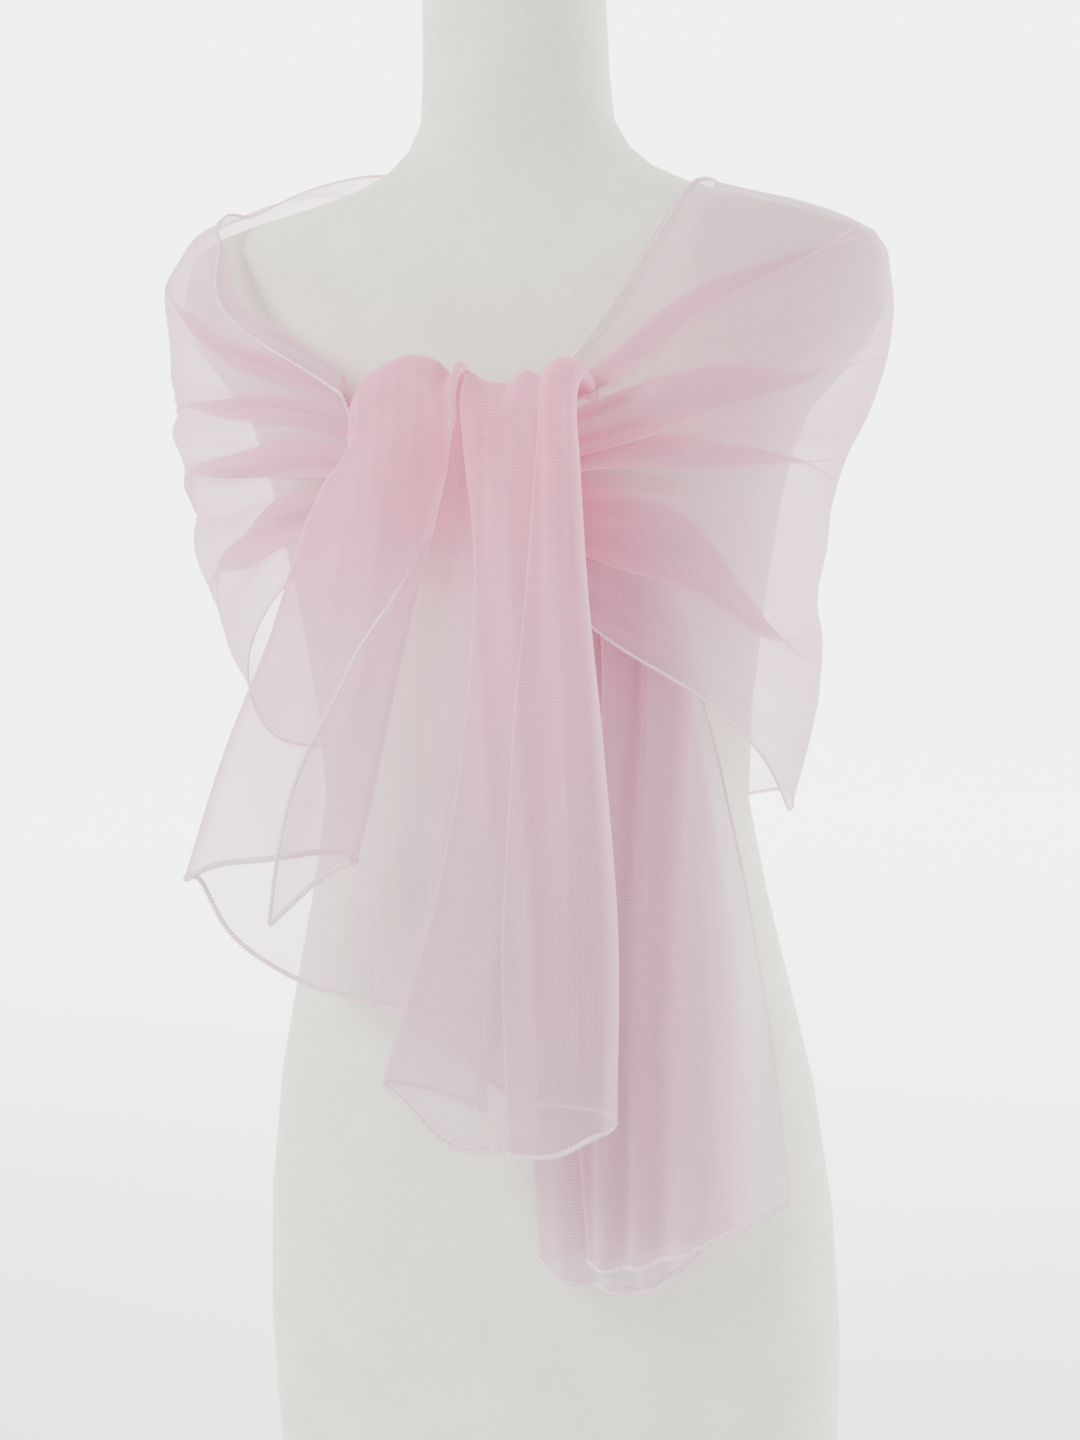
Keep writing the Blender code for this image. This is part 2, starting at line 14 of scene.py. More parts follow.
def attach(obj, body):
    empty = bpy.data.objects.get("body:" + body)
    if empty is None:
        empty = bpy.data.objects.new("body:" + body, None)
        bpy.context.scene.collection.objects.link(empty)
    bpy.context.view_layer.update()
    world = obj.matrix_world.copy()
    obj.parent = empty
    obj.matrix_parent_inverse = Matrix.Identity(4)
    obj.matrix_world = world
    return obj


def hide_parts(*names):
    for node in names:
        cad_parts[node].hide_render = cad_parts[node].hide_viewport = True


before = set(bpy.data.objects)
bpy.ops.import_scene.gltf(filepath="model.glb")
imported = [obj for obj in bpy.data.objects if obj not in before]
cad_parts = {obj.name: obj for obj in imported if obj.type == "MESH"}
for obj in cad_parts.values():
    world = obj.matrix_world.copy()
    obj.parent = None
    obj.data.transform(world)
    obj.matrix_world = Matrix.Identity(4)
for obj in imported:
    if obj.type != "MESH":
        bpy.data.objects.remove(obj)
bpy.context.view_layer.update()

# Photograph's camera
IMAGE_HEIGHT_PX = 1440
FOCAL_PX = 2311.0
SENSOR_MM = 24.0
CAMERA_AIM = Vector((0.004, 0.0, 0.52))
CAMERA_DISTANCE = 1.30
CAMERA_AZIMUTH = math.radians(20.0)
CAMERA_ELEVATION = math.radians(11.0)
CAMERA_ROLL = math.radians(1.5)

# The scarf's cut: its width, and the lengths of the wrap and of both ends
CUT_WIDTH = 0.525
WRAP_LENGTH = 0.93
FALL_LENGTH = 0.40
TAIL_LENGTH = 0.43
KNOT_CUT = (0.30, 0.10)

# Clearance of the cloth from the form
CLEARANCE = 0.0010

# Shares of the cut's width, top edge to bottom edge, at which each rib has a point
LINES = (0.0, 0.15, 0.27, 0.40, 0.55, 0.68, 0.84, 1.0)

# Ribs of the wrap, from the knot's left side round the back to its right side
RIBS = (
    # name, then a point (x, y, z) on each line
    ("left knot", (
        (0.053, -0.115, 0.712), (0.053, -0.116, 0.702), (0.053, -0.117, 0.692),
        (0.053, -0.117, 0.681), (0.053, -0.117, 0.668), (0.053, -0.117, 0.655),
        (0.053, -0.117, 0.636), (0.053, -0.116, 0.612),
    )),
    ("left breast", (
        (0.077, -0.106, 0.724), (0.079, -0.110, 0.717), (0.079, -0.113, 0.705),
        (0.079, -0.115, 0.690), (0.079, -0.116, 0.672), (0.079, -0.116, 0.652),
        (0.078, -0.116, 0.622), (0.077, -0.115, 0.591),
    )),
    ("left chest", (
        (0.096, -0.066, 0.770), (0.119, -0.082, 0.750), (0.131, -0.087, 0.731),
        (0.126, -0.094, 0.702), (0.126, -0.098, 0.668), (0.123, -0.099, 0.643),
        (0.121, -0.100, 0.594), (0.125, -0.098, 0.556),
    )),
    ("left shoulder", (
        (0.101, -0.038, 0.791), (0.163, -0.055, 0.772), (0.170, -0.060, 0.741),
        (0.163, -0.064, 0.705), (0.157, -0.066, 0.665), (0.147, -0.066, 0.618),
        (0.148, -0.060, 0.553), (0.144, -0.056, 0.521),
    )),
    ("left side", (
        (0.106, 0.004, 0.8060), (0.187, 0.006, 0.784), (0.199, 0.010, 0.760),
        (0.196, 0.013, 0.716), (0.170, 0.016, 0.655), (0.156, 0.014, 0.597),
        (0.160, 0.012, 0.541), (0.145, 0.008, 0.475),
    )),
    ("left blade", (
        (0.084, 0.060, 0.798), (0.140, 0.064, 0.784), (0.158, 0.076, 0.752),
        (0.154, 0.088, 0.710), (0.144, 0.092, 0.655), (0.138, 0.090, 0.595),
        (0.134, 0.086, 0.535), (0.124, 0.082, 0.468),
    )),
    ("spine", (
        (0.0, 0.078, 0.800), (0.0, 0.098, 0.765), (0.0, 0.110, 0.722),
        (0.0, 0.116, 0.676), (0.0, 0.117, 0.618), (0.0, 0.114, 0.562),
        (0.0, 0.110, 0.500), (0.0, 0.106, 0.440),
    )),
    ("right blade", (
        (-0.118, 0.060, 0.824), (-0.158, 0.064, 0.798), (-0.168, 0.076, 0.757),
        (-0.162, 0.088, 0.712), (-0.152, 0.092, 0.655), (-0.144, 0.090, 0.598),
        (-0.140, 0.086, 0.540), (-0.130, 0.080, 0.480),
    )),
    ("right side", (
        (-0.152, -0.002, 0.802), (-0.190, -0.008, 0.7870), (-0.206, -0.012, 0.758),
        (-0.201, -0.014, 0.712), (-0.203, -0.012, 0.672), (-0.195, -0.010, 0.634),
        (-0.191, -0.008, 0.585), (-0.160, -0.004, 0.505),
    )),
    ("right shoulder", (
        (-0.135, -0.045, 0.782), (-0.165, -0.050, 0.762), (-0.168, -0.054, 0.744),
        (-0.166, -0.058, 0.708), (-0.167, -0.060, 0.688), (-0.166, -0.060, 0.664),
        (-0.164, -0.056, 0.622), (-0.152, -0.048, 0.540),
    )),
    ("right chest", (
        (-0.119, -0.078, 0.757), (-0.124, -0.083, 0.738), (-0.129, -0.086, 0.724),
        (-0.127, -0.090, 0.706), (-0.127, -0.092, 0.688), (-0.129, -0.092, 0.670),
        (-0.124, -0.088, 0.633), (-0.130, -0.082, 0.575),
    )),
    ("right breast", (
        (-0.082, -0.098, 0.732), (-0.083, -0.102, 0.722), (-0.085, -0.105, 0.713),
        (-0.084, -0.108, 0.703), (-0.084, -0.110, 0.692), (-0.085, -0.111, 0.676),
        (-0.090, -0.108, 0.648), (-0.094, -0.102, 0.612),
    )),
    ("right knot", (
        (-0.047, -0.112, 0.716), (-0.047, -0.114, 0.709), (-0.047, -0.115, 0.702),
        (-0.047, -0.116, 0.695), (-0.047, -0.117, 0.686), (-0.047, -0.117, 0.675),
        (-0.047, -0.117, 0.657), (-0.047, -0.116, 0.636),
    )),
)
# How much of each rib's folds are laid, 1 at the knot
FOLD_STRENGTH = (1.0, 0.92, 0.60, 0.36, 0.12, 0.01, 0.0, 0.01, 0.08, 0.32, 0.58, 0.92, 1.0)

# Largest folds, laid at the knot: shares of the bundle where a fold starts and ends
LEFT_FOLDS = (
    # name, upper_edge, lower_edge
    ("shoulder fold", 0.15, 0.27),
    ("long fold", 0.28, 0.50),
    ("middle fold", 0.42, 0.55),
    ("low fold", 0.58, 0.82),
)
RIGHT_FOLDS = (
    ("shoulder fold", 0.16, 0.30),
    ("ridge fold", 0.36, 0.54),
    ("pinch fold", 0.60, 0.74),
    ("swag fold", 0.78, 0.92),
)
# Share of the bundle by which the top edge is turned over, on each side
LEFT_TURNED_IN = 0.02
RIGHT_TURNED_IN = 0.17
# Distance between layers. Over the left shoulder, where the folds' strength falls below a limit,
# they lie closer by a share of it
LAYER_GAP = 0.0017
CLOSER = 0.62
CLOSER_BELOW = 0.62
CLOSER_OVER = 0.5
# Strengths over which the folds rise from the cloth
FIRST_LIFT = 0.02
FULL_LIFT = 0.27
# Share of the width that a fold's turn takes up, and that its border is soft over
TURN_SHARE = 0.014
FOLD_BORDER = 0.014
# Share of the way round at which the left side's folds start to become the right side's
SWAP_FROM = 0.25
SWAP_OVER = 0.5
WRAP_ROWS = 270
RUN_COLUMNS = 48
TURN_COLUMNS = 5

# How far the wrap's ends run into the knot, the (y, z) that they gather towards, what share of
# the way to it they go, and how early in the run
KNOT_ENTRY = 0.013
KNOT_ENTRY_ROWS = 8
KNOT_HEART = np.array((-0.1265, 0.672))
KNOT_PINCH = 0.55
KNOT_PINCH_PACE = 1.4

# Swags round the back: shares of the width that a ridge crosses at the left shoulder, spine and
# right shoulder, how far it stands out at each, and its half width
BACK_STATIONS = (0.25, 0.50, 0.75)
BACK_SWAGS = (
    ((0.07, 0.13, 0.08), (0.004, 0.014, 0.008), 0.050),
    ((0.18, 0.25, 0.20), (0.012, 0.014, 0.012), 0.070),
    ((0.29, 0.36, 0.30), (0.006, 0.011, 0.013), 0.045),
    ((0.40, 0.48, 0.43), (0.022, 0.019, 0.021), 0.080),
    ((0.52, 0.58, 0.55), (0.008, 0.005, 0.010), 0.040),
    ((0.63, 0.68, 0.65), (0.016, 0.023, 0.018), 0.075),
    ((0.76, 0.78, 0.755), (0.012, 0.008, 0.016), 0.050),
    ((0.865, 0.885, 0.86), (0.020, 0.016, 0.013), 0.060),
    ((0.955, 0.965, 0.95), (0.007, 0.010, 0.012), 0.038),
)
# Share of the way round at which the swags start to come up
SWAG_FROM = 0.25
SWAG_OVER = 0.17

# Fine gathers beside the knot: their height, pitch in shares of the bundle, how far they run and
# how far they slant, in radians a metre
GATHER_HEIGHT = 0.0026
GATHER_PITCH = 0.085
GATHER_REACH = 0.17
GATHER_SLANT = 18.0

# Soft ridges that run out from the knot and die away
WRAP_CREASES = (
    # side, share at the knot, share where it ends, starts at, ends at, height, half_width
    ("left", 0.08, 0.10, 0.02, 0.24, 0.0026, 0.026),
    ("left", 0.22, 0.20, 0.02, 0.30, 0.0036, 0.032),
    ("left", 0.36, 0.33, 0.00, 0.26, 0.0034, 0.026),
    ("left", 0.50, 0.46, 0.02, 0.32, 0.0042, 0.032),
    ("left", 0.62, 0.63, 0.00, 0.28, 0.0038, 0.028),
    ("left", 0.74, 0.80, 0.02, 0.36, 0.0050, 0.034),
    ("left", 0.90, 0.93, 0.00, 0.30, 0.0040, 0.028),
    ("right", 0.10, 0.09, 0.02, 0.26, 0.0030, 0.026),
    ("right", 0.26, 0.24, 0.00, 0.34, 0.0058, 0.034),
    ("right", 0.40, 0.37, 0.02, 0.30, 0.0046, 0.026),
    ("right", 0.54, 0.52, 0.00, 0.36, 0.0066, 0.034),
    ("right", 0.68, 0.66, 0.02, 0.32, 0.0056, 0.028),
    ("right", 0.80, 0.79, 0.00, 0.38, 0.0062, 0.030),
    ("right", 0.92, 0.92, 0.02, 0.36, 0.0056, 0.028),
)

# How far a pressed crease, a line of painted highlight along a ridge, shows as a fold's edge does,
# which is 1, how wide it is as a share of its ridge, and how much faster it comes up than it dies
# away
CREASE_HIGHLIGHT = 0.28
CREASE_WIDTH = 0.28
CREASE_RISE = 4

# Where the wrap's cloth is dense: all of it near the knot, a patch by the knot's left end where
# layers lie on each other, and its folds
DENSE_NEAR_KNOT = 0.20
DENSE_FROM = 0.15
DENSE_PATCH = 0.6
PATCH_CENTRE = 0.72
PATCH_HALF_WIDTH = 0.22
PATCH_REACH = 0.040
DENSE_FOLD = 0.5
DENSE_FOLD_FADE = 0.6

# Front fall: its route over the knot, then fractions of the drop with an x each
FALL_ROLL = (
    # y, z
    (-0.1262, 0.7060),
    (-0.1300, 0.7120),
    (-0.1362, 0.7158),
    (-0.1415, 0.7180),
    (-0.1480, 0.7162),
    (-0.1530, 0.7090),
)
FALL_START = 0.698
FALL_DROP = (0.0, 0.20, 0.45, 0.72, 1.0)
FALL_DEPTH = (-0.1531, -0.1531, -0.1490, -0.1430, -0.1400)
FALL_LINES = (
    # name, kind, x at each fraction of the drop, hem_z
    ("wing edge", "edge", (0.0195, 0.0088, -0.033, -0.071, -0.088), 0.440),
    ("wing fold", "turn", (0.021, 0.010, -0.008, -0.026, -0.042), 0.476),
    ("outer pass", "pass", (-0.004, -0.024, -0.046, -0.070, -0.094), 0.472),
    ("outer fold", "turn", (-0.031, -0.058, -0.082, -0.114, -0.141), 0.457),
    ("hem corner", "pass", (-0.026, -0.052, -0.074, -0.104, -0.126), 0.427),
    ("hem low", "pass", (-0.018, -0.038, -0.056, -0.076, -0.092), 0.403),
    ("hem middle", "pass", (0.008, -0.004, -0.012, -0.020, -0.024), 0.385),
    ("hem back", "pass", (0.040, 0.040, 0.040, 0.040, 0.034), 0.350),
    ("left edge fold", "turn", (0.080, 0.083, 0.089, 0.093, 0.090), 0.345),
    ("front pass", "pass", (0.075, 0.074, 0.073, 0.071, 0.070), 0.333),
    ("flap fold", "turn", (0.066, 0.060, 0.050, 0.042, 0.043), 0.329),
    ("inner fold", "turn", (0.075, 0.077, 0.074, 0.063, 0.049), 0.329),
    ("centre pass", "pass", (0.048, 0.052, 0.046, 0.030, 0.008), 0.327),
    ("centre fold", "turn", (0.025, 0.031, 0.022, 0.001, -0.031), 0.354),
    ("strip edge", "edge", (0.044, 0.046, 0.040, 0.028, 0.024), 0.345),
)
FALL_LAYERS = (
    # metres in front of the back layer at the top and at the hem, bow at the hem and below the roll
    (0.0050, 0.0240, 0.0020, 0.0030),
    (0.0025, 0.0130, 0.0030, 0.0060),
    (0.0, 0.0, -0.0100, 0.0),
    (0.0084, 0.0270, 0.0020, 0.0015),
    (0.0063, 0.0215, 0.0, 0.0020),
    (0.0042, 0.0150, 0.0060, 0.0040),
    (0.0021, 0.0080, -0.0020, 0.0020),
)
# Rise of the roll over the knot: it puffs up over each lobe and dips between them
FALL_HUMPS = (
    # x, rise
    (-0.0500, -0.0120), (-0.0440, -0.0100), (-0.0350, -0.0040), (-0.0250, 0.0025),
    (-0.0170, 0.0065), (-0.0100, 0.0085), (-0.0030, 0.0090), (0.0030, 0.0075),
    (0.0090, 0.0045), (0.0135, -0.0030), (0.0170, 0.0030), (0.0230, 0.0000),
    (0.0300, -0.0055), (0.0380, -0.0062), (0.0470, -0.0060), (0.0510, -0.0010),
    (0.0550, 0.0005), (0.0590, -0.0040), (0.0640, -0.0030), (0.0704, 0.0010),
    (0.0765, 0.0010), (0.0805, -0.0012), (0.0900, -0.0040),
)
HUMP_REACH = 0.055
# Soft ridges down the fall, where its cloth stands forward
FALL_RIDGES = (
    # x and z at the top, x and z at the foot, height, half_width
    (0.0050, 0.5200, -0.0200, 0.3900, 0.0040, 0.0070),
    (-0.0300, 0.5100, -0.0560, 0.4050, 0.0034, 0.0065),
    (-0.0550, 0.5300, -0.0980, 0.4350, 0.0030, 0.0080),
    (0.0420, 0.4800, 0.0180, 0.3300, 0.0042, 0.0060),
    (0.0560, 0.5000, 0.0560, 0.3300, 0.0030, 0.0080),
    (0.0290, 0.6400, 0.0330, 0.4900, 0.0026, 0.0060),
    (0.0480, 0.6900, 0.0560, 0.4200, 0.0024, 0.0070),
    (0.0740, 0.7000, 0.0780, 0.3600, 0.0022, 0.0060),
    (-0.0120, 0.6900, -0.0420, 0.5200, 0.0026, 0.0075),
    (-0.0300, 0.6800, -0.0750, 0.4900, 0.0022, 0.0070),
)
# A pressed crease's half width as a share of its ridge's: a line of painted highlight down each
# ridge
RIDGE_CREASE_WIDTH = 0.3
# Shares of a ridge's length over which it comes up and dies away, and where it ends
RIDGE_RISE = 0.35
RIDGE_FADE = 0.25
RIDGE_END = 1.08
# Shares of the drop at which the ridges are up, and the fine waves and the dense cloth end
RIDGES_UP = 0.06
WAVES_END = 0.6
FALL_DENSE_END = 0.75
# Fine waves near the roll: their height, then (strength, radians a metre, start) for each
FALL_WAVE = 0.0006
FALL_WAVES = ((1.0, 620, 1.3), (0.6, 1010, 0.4))
ROLL_LENGTH = 0.05
FALL_COLUMNS_PER_M = 300
FALL_ROWS = 130
ROLL_ROWS = 22
# Rows at which the hems of the fall's two edges come out of the gathers, and how they start
WING_HEM_ROW = 46
STRIP_HEM_ROW = 95
HEM_TAPER = 0.020
HEM_START = 0.3

# Turns of a hanging end: length, largest bulge, and how far they show as a fold's edge, partly
# denser cloth and partly a painted highlight, lighter pink
TURN_LENGTH = 0.002
TURN_BULGE = 0.0045
TURN_CREST = 0.3
# Where a hanging end puffs out below the roll, as shares of its drop, and how its bow grows
PUFF_RISE = 0.08
PUFF_UNTIL = 0.2
PUFF_FADE = 0.45
BOW_PACE = 1.5

# Under tail: it leaves the knot's left end behind the fan and turns down
TAIL_STEPS = (0.0, 0.10, 0.24, 0.42, 0.70, 1.0)
TAIL_DEPTH = (-0.1047, -0.0995, -0.0900, -0.0910, -0.1020, -0.1060)
# Behind the fan, the tail is tucked back by this slope past an x, until it hangs free
TAIL_TUCK = 0.35
TAIL_TUCK_FROM = 0.070
TAIL_FREE_FROM = 0.30
TAIL_FREE_OVER = 0.35
TAIL_LINES = (
    # name, kind, (x, z) at each step
    ("outer edge", "edge", (
        (0.0532, 0.684), (0.082, 0.668), (0.103, 0.622),
        (0.125, 0.554), (0.160, 0.429), (0.177, 0.302),
    )),
    ("front pass", "pass", (
        (0.0532, 0.668), (0.076, 0.650), (0.091, 0.604),
        (0.105, 0.540), (0.124, 0.410), (0.128, 0.273),
    )),
    ("front fold", "turn", (
        (0.0532, 0.646), (0.067, 0.628), (0.073, 0.588),
        (0.074, 0.530), (0.063, 0.400), (0.068, 0.254),
    )),
    ("second pass", "pass", (
        (0.0532, 0.658), (0.073, 0.640), (0.084, 0.597),
        (0.093, 0.535), (0.100, 0.405), (0.112, 0.268),
    )),
    ("second fold", "turn", (
        (0.0532, 0.676), (0.080, 0.660), (0.098, 0.614),
        (0.117, 0.550), (0.145, 0.409), (0.152, 0.282),
    )),
    ("third pass", "pass", (
        (0.0532, 0.656), (0.071, 0.638), (0.080, 0.595),
        (0.085, 0.530), (0.092, 0.400), (0.097, 0.240),
    )),
    ("inner fold", "turn", (
        (0.0532, 0.632), (0.060, 0.610), (0.057, 0.575),
        (0.047, 0.520), (0.032, 0.400), (0.036, 0.245),
    )),
    ("back pass", "pass", (
        (0.0532, 0.652), (0.068, 0.632), (0.077, 0.590),
        (0.081, 0.530), (0.082, 0.400), (0.080, 0.262),
    )),
    ("back edge", "edge", (
        (0.0532, 0.670), (0.076, 0.654), (0.091, 0.606),
        (0.108, 0.545), (0.128, 0.410), (0.130, 0.274),
    )),
)
TAIL_LAYERS = (
    (0.0070, 0.0200, 0.0040, 0.0),
    (0.0047, 0.0140, -0.0010, 0.0),
    (0.0024, 0.0080, 0.0010, 0.0),
    (0.0, 0.0020, -0.0080, 0.0),
)
# Flutes of the tail: height and radians a metre of the fine ones near the knot and the broad ones
FINE_FLUTE = 0.0026
FINE_FLUTE_PACE = 450
FINE_FLUTE_AT_HEM = 0.0003
BROAD_FLUTE = 0.0068
BROAD_FLUTE_PACE = 235
BROAD_FLUTE_START = 2.1
# Shares of the tail's length at which the fine ones have died away and the broad ones are full
FINE_FLUTE_END = 0.9
BROAD_FLUTE_UP = 0.7
# Towards the outer edge the broad ones are flatter, from an x and over a width
FLATTER = 0.7
FLATTER_FROM = 0.09
FLATTER_OVER = 0.07
# How far the flutes wander, in radians, how fast, and how much more the fine ones do
DRIFT = 1.6
DRIFT_PACE = 61
DRIFT_START = 0.9
DRIFT_DOWN = 0.8
FINE_DRIFT = 2
# The tail's density at the knot, and the share of its length at which it ends
TAIL_DENSE = 0.8
TAIL_DENSE_END = 0.6
TAIL_COLUMNS_PER_M = 330
TAIL_ROWS = 130
# Its rows lie closer near the knot. By this share of its length it has turned down
TAIL_ROWS_PACE = 1.15
TAIL_TURNED = 0.15

# Knot: sections along the bundle, from the right end to the left end
KNOT_SECTIONS = (
    # x, y, z, half_height, half_depth
    (-0.0465, -0.1255, 0.674, 0.039, 0.0150),
    (-0.0380, -0.1275, 0.674, 0.040, 0.0190),
    (-0.0150, -0.1290, 0.673, 0.040, 0.0215),
    (0.0150, -0.1290, 0.669, 0.044, 0.0220),
    (0.0420, -0.1285, 0.662, 0.050, 0.0215),
    (0.0524, -0.1280, 0.660, 0.051, 0.0180),
)
KNOT_ROWS = 60
KNOT_SIDES = 260
# Pleats of the knot: number, height and twist in radians a metre, fine ones and then broad ones
KNOT_PLEATS = 23
KNOT_PLEAT = 0.0011
KNOT_TWIST = 14.0
KNOT_BROAD_PLEATS = 9
KNOT_BROAD_SHARE = 0.45
KNOT_BROAD_TWIST = 20
KNOT_BROAD_START = 1.0
# How the knot's ends are rounded: over what length, how fully, and how high and deep they end
KNOT_ROUNDING = 0.007
KNOT_ROUNDNESS = 0.9
KNOT_END_HEIGHT = 0.55
KNOT_END_DEPTH = 0.4
# Its inset from the solid, the height of its lower edge that thins out, and how much it thins
KNOT_INSET = 0.001
KNOT_THIN_EDGE = 0.012
KNOT_THINNING = 1.9

# Overlocked edge: half width and half thickness, pitch of its stitches and how far they bead
HEM_WIDE = 0.00125
HEM_THICK = 0.00065
STITCH_PITCH = 0.0020
STITCH_BEAD = 0.40
HEM_STEP = 0.0005
HEM_SIDES = 8
# Each hem's share of that size: the wrap's two, the fall's sides, the tail's sides and the feet
WRAP_TOP_HEM = 0.75
WRAP_FOOT_HEM = 0.8
WING_HEM = 0.8
STRIP_HEM = 0.6
TAIL_SIDE_HEM = 0.6
FOOT_HEM = 1.15


def make_camera():
    """The camera at the photograph's viewing angle, in its frame."""
    a, e, r = CAMERA_AZIMUTH, CAMERA_ELEVATION, CAMERA_ROLL
    back = Vector((math.sin(a) * math.cos(e), -math.cos(a) * math.cos(e), math.sin(e)))
    level = Vector((math.cos(a), math.sin(a), 0.0))
    rise = back.cross(level)
    right = level * math.cos(r) - rise * math.sin(r)
    up = rise * math.cos(r) + level * math.sin(r)
    data = bpy.data.cameras.new("camera")
    data.sensor_fit = "VERTICAL"
    data.sensor_height = SENSOR_MM
    data.lens = SENSOR_MM * FOCAL_PX / IMAGE_HEIGHT_PX
    camera = bpy.data.objects.new("camera", data)
    bpy.context.collection.objects.link(camera)
    turn = Matrix((right, up, back)).transposed().to_4x4()
    camera.matrix_world = Matrix.Translation(CAMERA_AIM + back * CAMERA_DISTANCE) @ turn
    bpy.context.scene.camera = camera


def ease(value):
    """Rise smoothly from 0 to 1."""
    t = np.clip(value, 0.0, 1.0)
    return t * t * (3 - 2 * t)


def cubic(t, span, first, first_slope, last, last_slope):
    """A smooth curve between two values that keeps their slopes."""
    start = (1 + 2 * t) * (1 - t) ** 2 * first + t * (1 - t) ** 2 * span * first_slope
    end = t * t * (3 - 2 * t) * last + t * t * (t - 1) * span * last_slope
    return start + end


def hermite(keys, rows, at):
    """Read a table at many places, along a smooth curve through its rows."""
    keys, rows, at = (np.asarray(values, float) for values in (keys, rows, at))
    slopes = np.gradient(rows, keys, axis=0)
    i = np.clip(np.searchsorted(keys, at) - 1, 0, len(keys) - 2)
    span = (keys[i + 1] - keys[i]).reshape(at.shape + (1,) * (rows.ndim - 1))
    t = (at - keys[i]).reshape(span.shape) / span
    return cubic(t, span, rows[i], slopes[i], rows[i + 1], slopes[i + 1])


def unit(vectors):
    """Vectors of length one."""
    return vectors / (np.linalg.norm(vectors, axis=-1, keepdims=True) + 1e-12)


def soften(grid, rounds):
    """Even out a grid of points. Its first and last columns stay where they are."""
    grid = grid.copy()
    for _ in range(rounds):
        inner = grid[1:-1, 1:-1]
        around = (grid[:-2, 1:-1] + grid[2:, 1:-1] + grid[1:-1, :-2] + grid[1:-1, 2:]) / 4
        grid[1:-1, 1:-1] = inner + (around - inner) / 2
        grid[0, 1:-1] += ((grid[0, :-2] + grid[0, 2:]) / 2 - grid[0, 1:-1]) / 2
        grid[-1, 1:-1] += ((grid[-1, :-2] + grid[-1, 2:]) / 2 - grid[-1, 1:-1]) / 2
    return grid


def clear_of_form(tree, grid):
    """Move the points of a grid out of the form until they are clear of it."""
    for row in grid:
        for point in row:
            place = Vector(point)
            near, normal, _, distance = tree.find_nearest(place)
            if (place - near).dot(normal) < 0 or distance < CLEARANCE:
                point[:] = near + normal * CLEARANCE
    return grid


def placed(name, mesh):
    """A smooth piece in the scene, from its mesh."""
    mesh.shade_smooth()
    piece = bpy.data.objects.new(name, mesh)
    bpy.context.collection.objects.link(piece)
    return piece


def sheet_mesh(name, grid, along, across, gather, crest_and_highlight, turned=False):
    """A sheet from a grid of points, with its cut as a UV map, its density, and its fold edges and
    creases, where a highlight is painted.

    turned: the grid's own faces point inwards, so they are turned round.
    """
    rows, columns = grid.shape[:2]
    index = np.arange(rows * columns).reshape(rows, columns)
    corners = (index[:-1, :-1], index[1:, :-1], index[1:, 1:], index[:-1, 1:])
    faces = np.stack(corners, -1).reshape(-1, 4)
    mesh = bpy.data.meshes.new(name)
    mesh.from_pydata(grid.reshape(-1, 3).tolist(), [], faces.tolist())
    uv = mesh.uv_layers.new(name="cut")
    flat = np.stack(np.broadcast_arrays(along[:, None], across[None, :]), -1).reshape(-1, 2)
    uv.data.foreach_set("uv", flat[faces.reshape(-1)].ravel())
    for key, values in (("gather", gather), ("crest_and_highlight", crest_and_highlight)):
        written = mesh.attributes.new(key, "FLOAT", "POINT")
        written.data.foreach_set("value", np.broadcast_to(values, (rows, columns)).ravel())
    if turned:
        mesh.flip_normals()
    return placed(name, mesh)


def rib_places():
    """Distance along the wrap of each rib, from the mean step between ribs."""
    points = np.array([row[1] for row in RIBS])
    steps = np.linalg.norm(np.diff(points, axis=0), axis=2).mean(axis=1)
    return np.concatenate(([0.0], np.cumsum(steps)))


def fold_stops(turned_in, folds):
    """Shares of the bundle at which the cloth turns back, from its top edge on."""
    stops = [turned_in, 0.0]
    for _, upper, lower in folds:
        stops += [lower, upper]
    return np.array(stops + [1.0])


def wrap_columns():
    """Columns across the wrap for both ends: laid share, bundled share, layer, bulge."""
    ends = [fold_stops(LEFT_TURNED_IN, LEFT_FOLDS), fold_stops(RIGHT_TURNED_IN, RIGHT_FOLDS)]
    longest = np.max([np.abs(np.diff(stops)) for stops in ends], axis=0)
    tables = []
    for stops in ends:
        flat, bundled, layer, bulge = [], [], [], []
        travelled = 0.0
        for k, length in enumerate(np.abs(np.diff(stops))):
            count = max(4, int(round(longest[k] * RUN_COLUMNS)))
            t = np.linspace(0, 1, count)
            flat += list(travelled + t * length)
            bundled += list(stops[k] + t * (stops[k + 1] - stops[k]))
            layer += [float(k)] * count
            bulge += [0.0] * count
            travelled += length
            if k < len(stops) - 2:
                turn = np.linspace(0, math.pi, TURN_COLUMNS + 2)[1:-1]
                flat += list(travelled + TURN_SHARE * turn / math.pi)
                bundled += [stops[k + 1]] * TURN_COLUMNS
                layer += list(k + (1 - np.cos(turn)) / 2)
                bulge += list(np.sin(turn) * np.sign(stops[k + 1] - stops[k]))
                travelled += TURN_SHARE
        table = np.array([flat, bundled, layer, bulge])
        table[0] /= table[0, -1]
        tables.append(table)
    return tables


def between(share, upper, lower):
    """1 between two shares of the width, and 0 outside them, with soft borders."""
    past_upper = np.clip((share - upper) / FOLD_BORDER + 0.5, 0, 1)
    return past_upper * np.clip((lower - share) / FOLD_BORDER + 0.5, 0, 1)


def wrap_surface(place, share):
    """Points of the unfolded wrap, at distances round it and shares of its width."""
    rows = hermite(rib_places(), [row[1] for row in RIBS], place)
    keys = np.array(LINES)
    slopes = np.gradient(rows, keys, axis=1)
    share = np.clip(share, 0.0, 1.0)
    i = np.clip(np.searchsorted(keys, share) - 1, 0, len(keys) - 2)
    span = (keys[i + 1] - keys[i])[:, :, None]
    t = (share - keys[i])[:, :, None] / span
    line = np.arange(len(rows))[:, None]
    upper, lower = (line, i), (line, i + 1)
    return cubic(t, span, rows[upper], slopes[upper], rows[lower], slopes[lower])


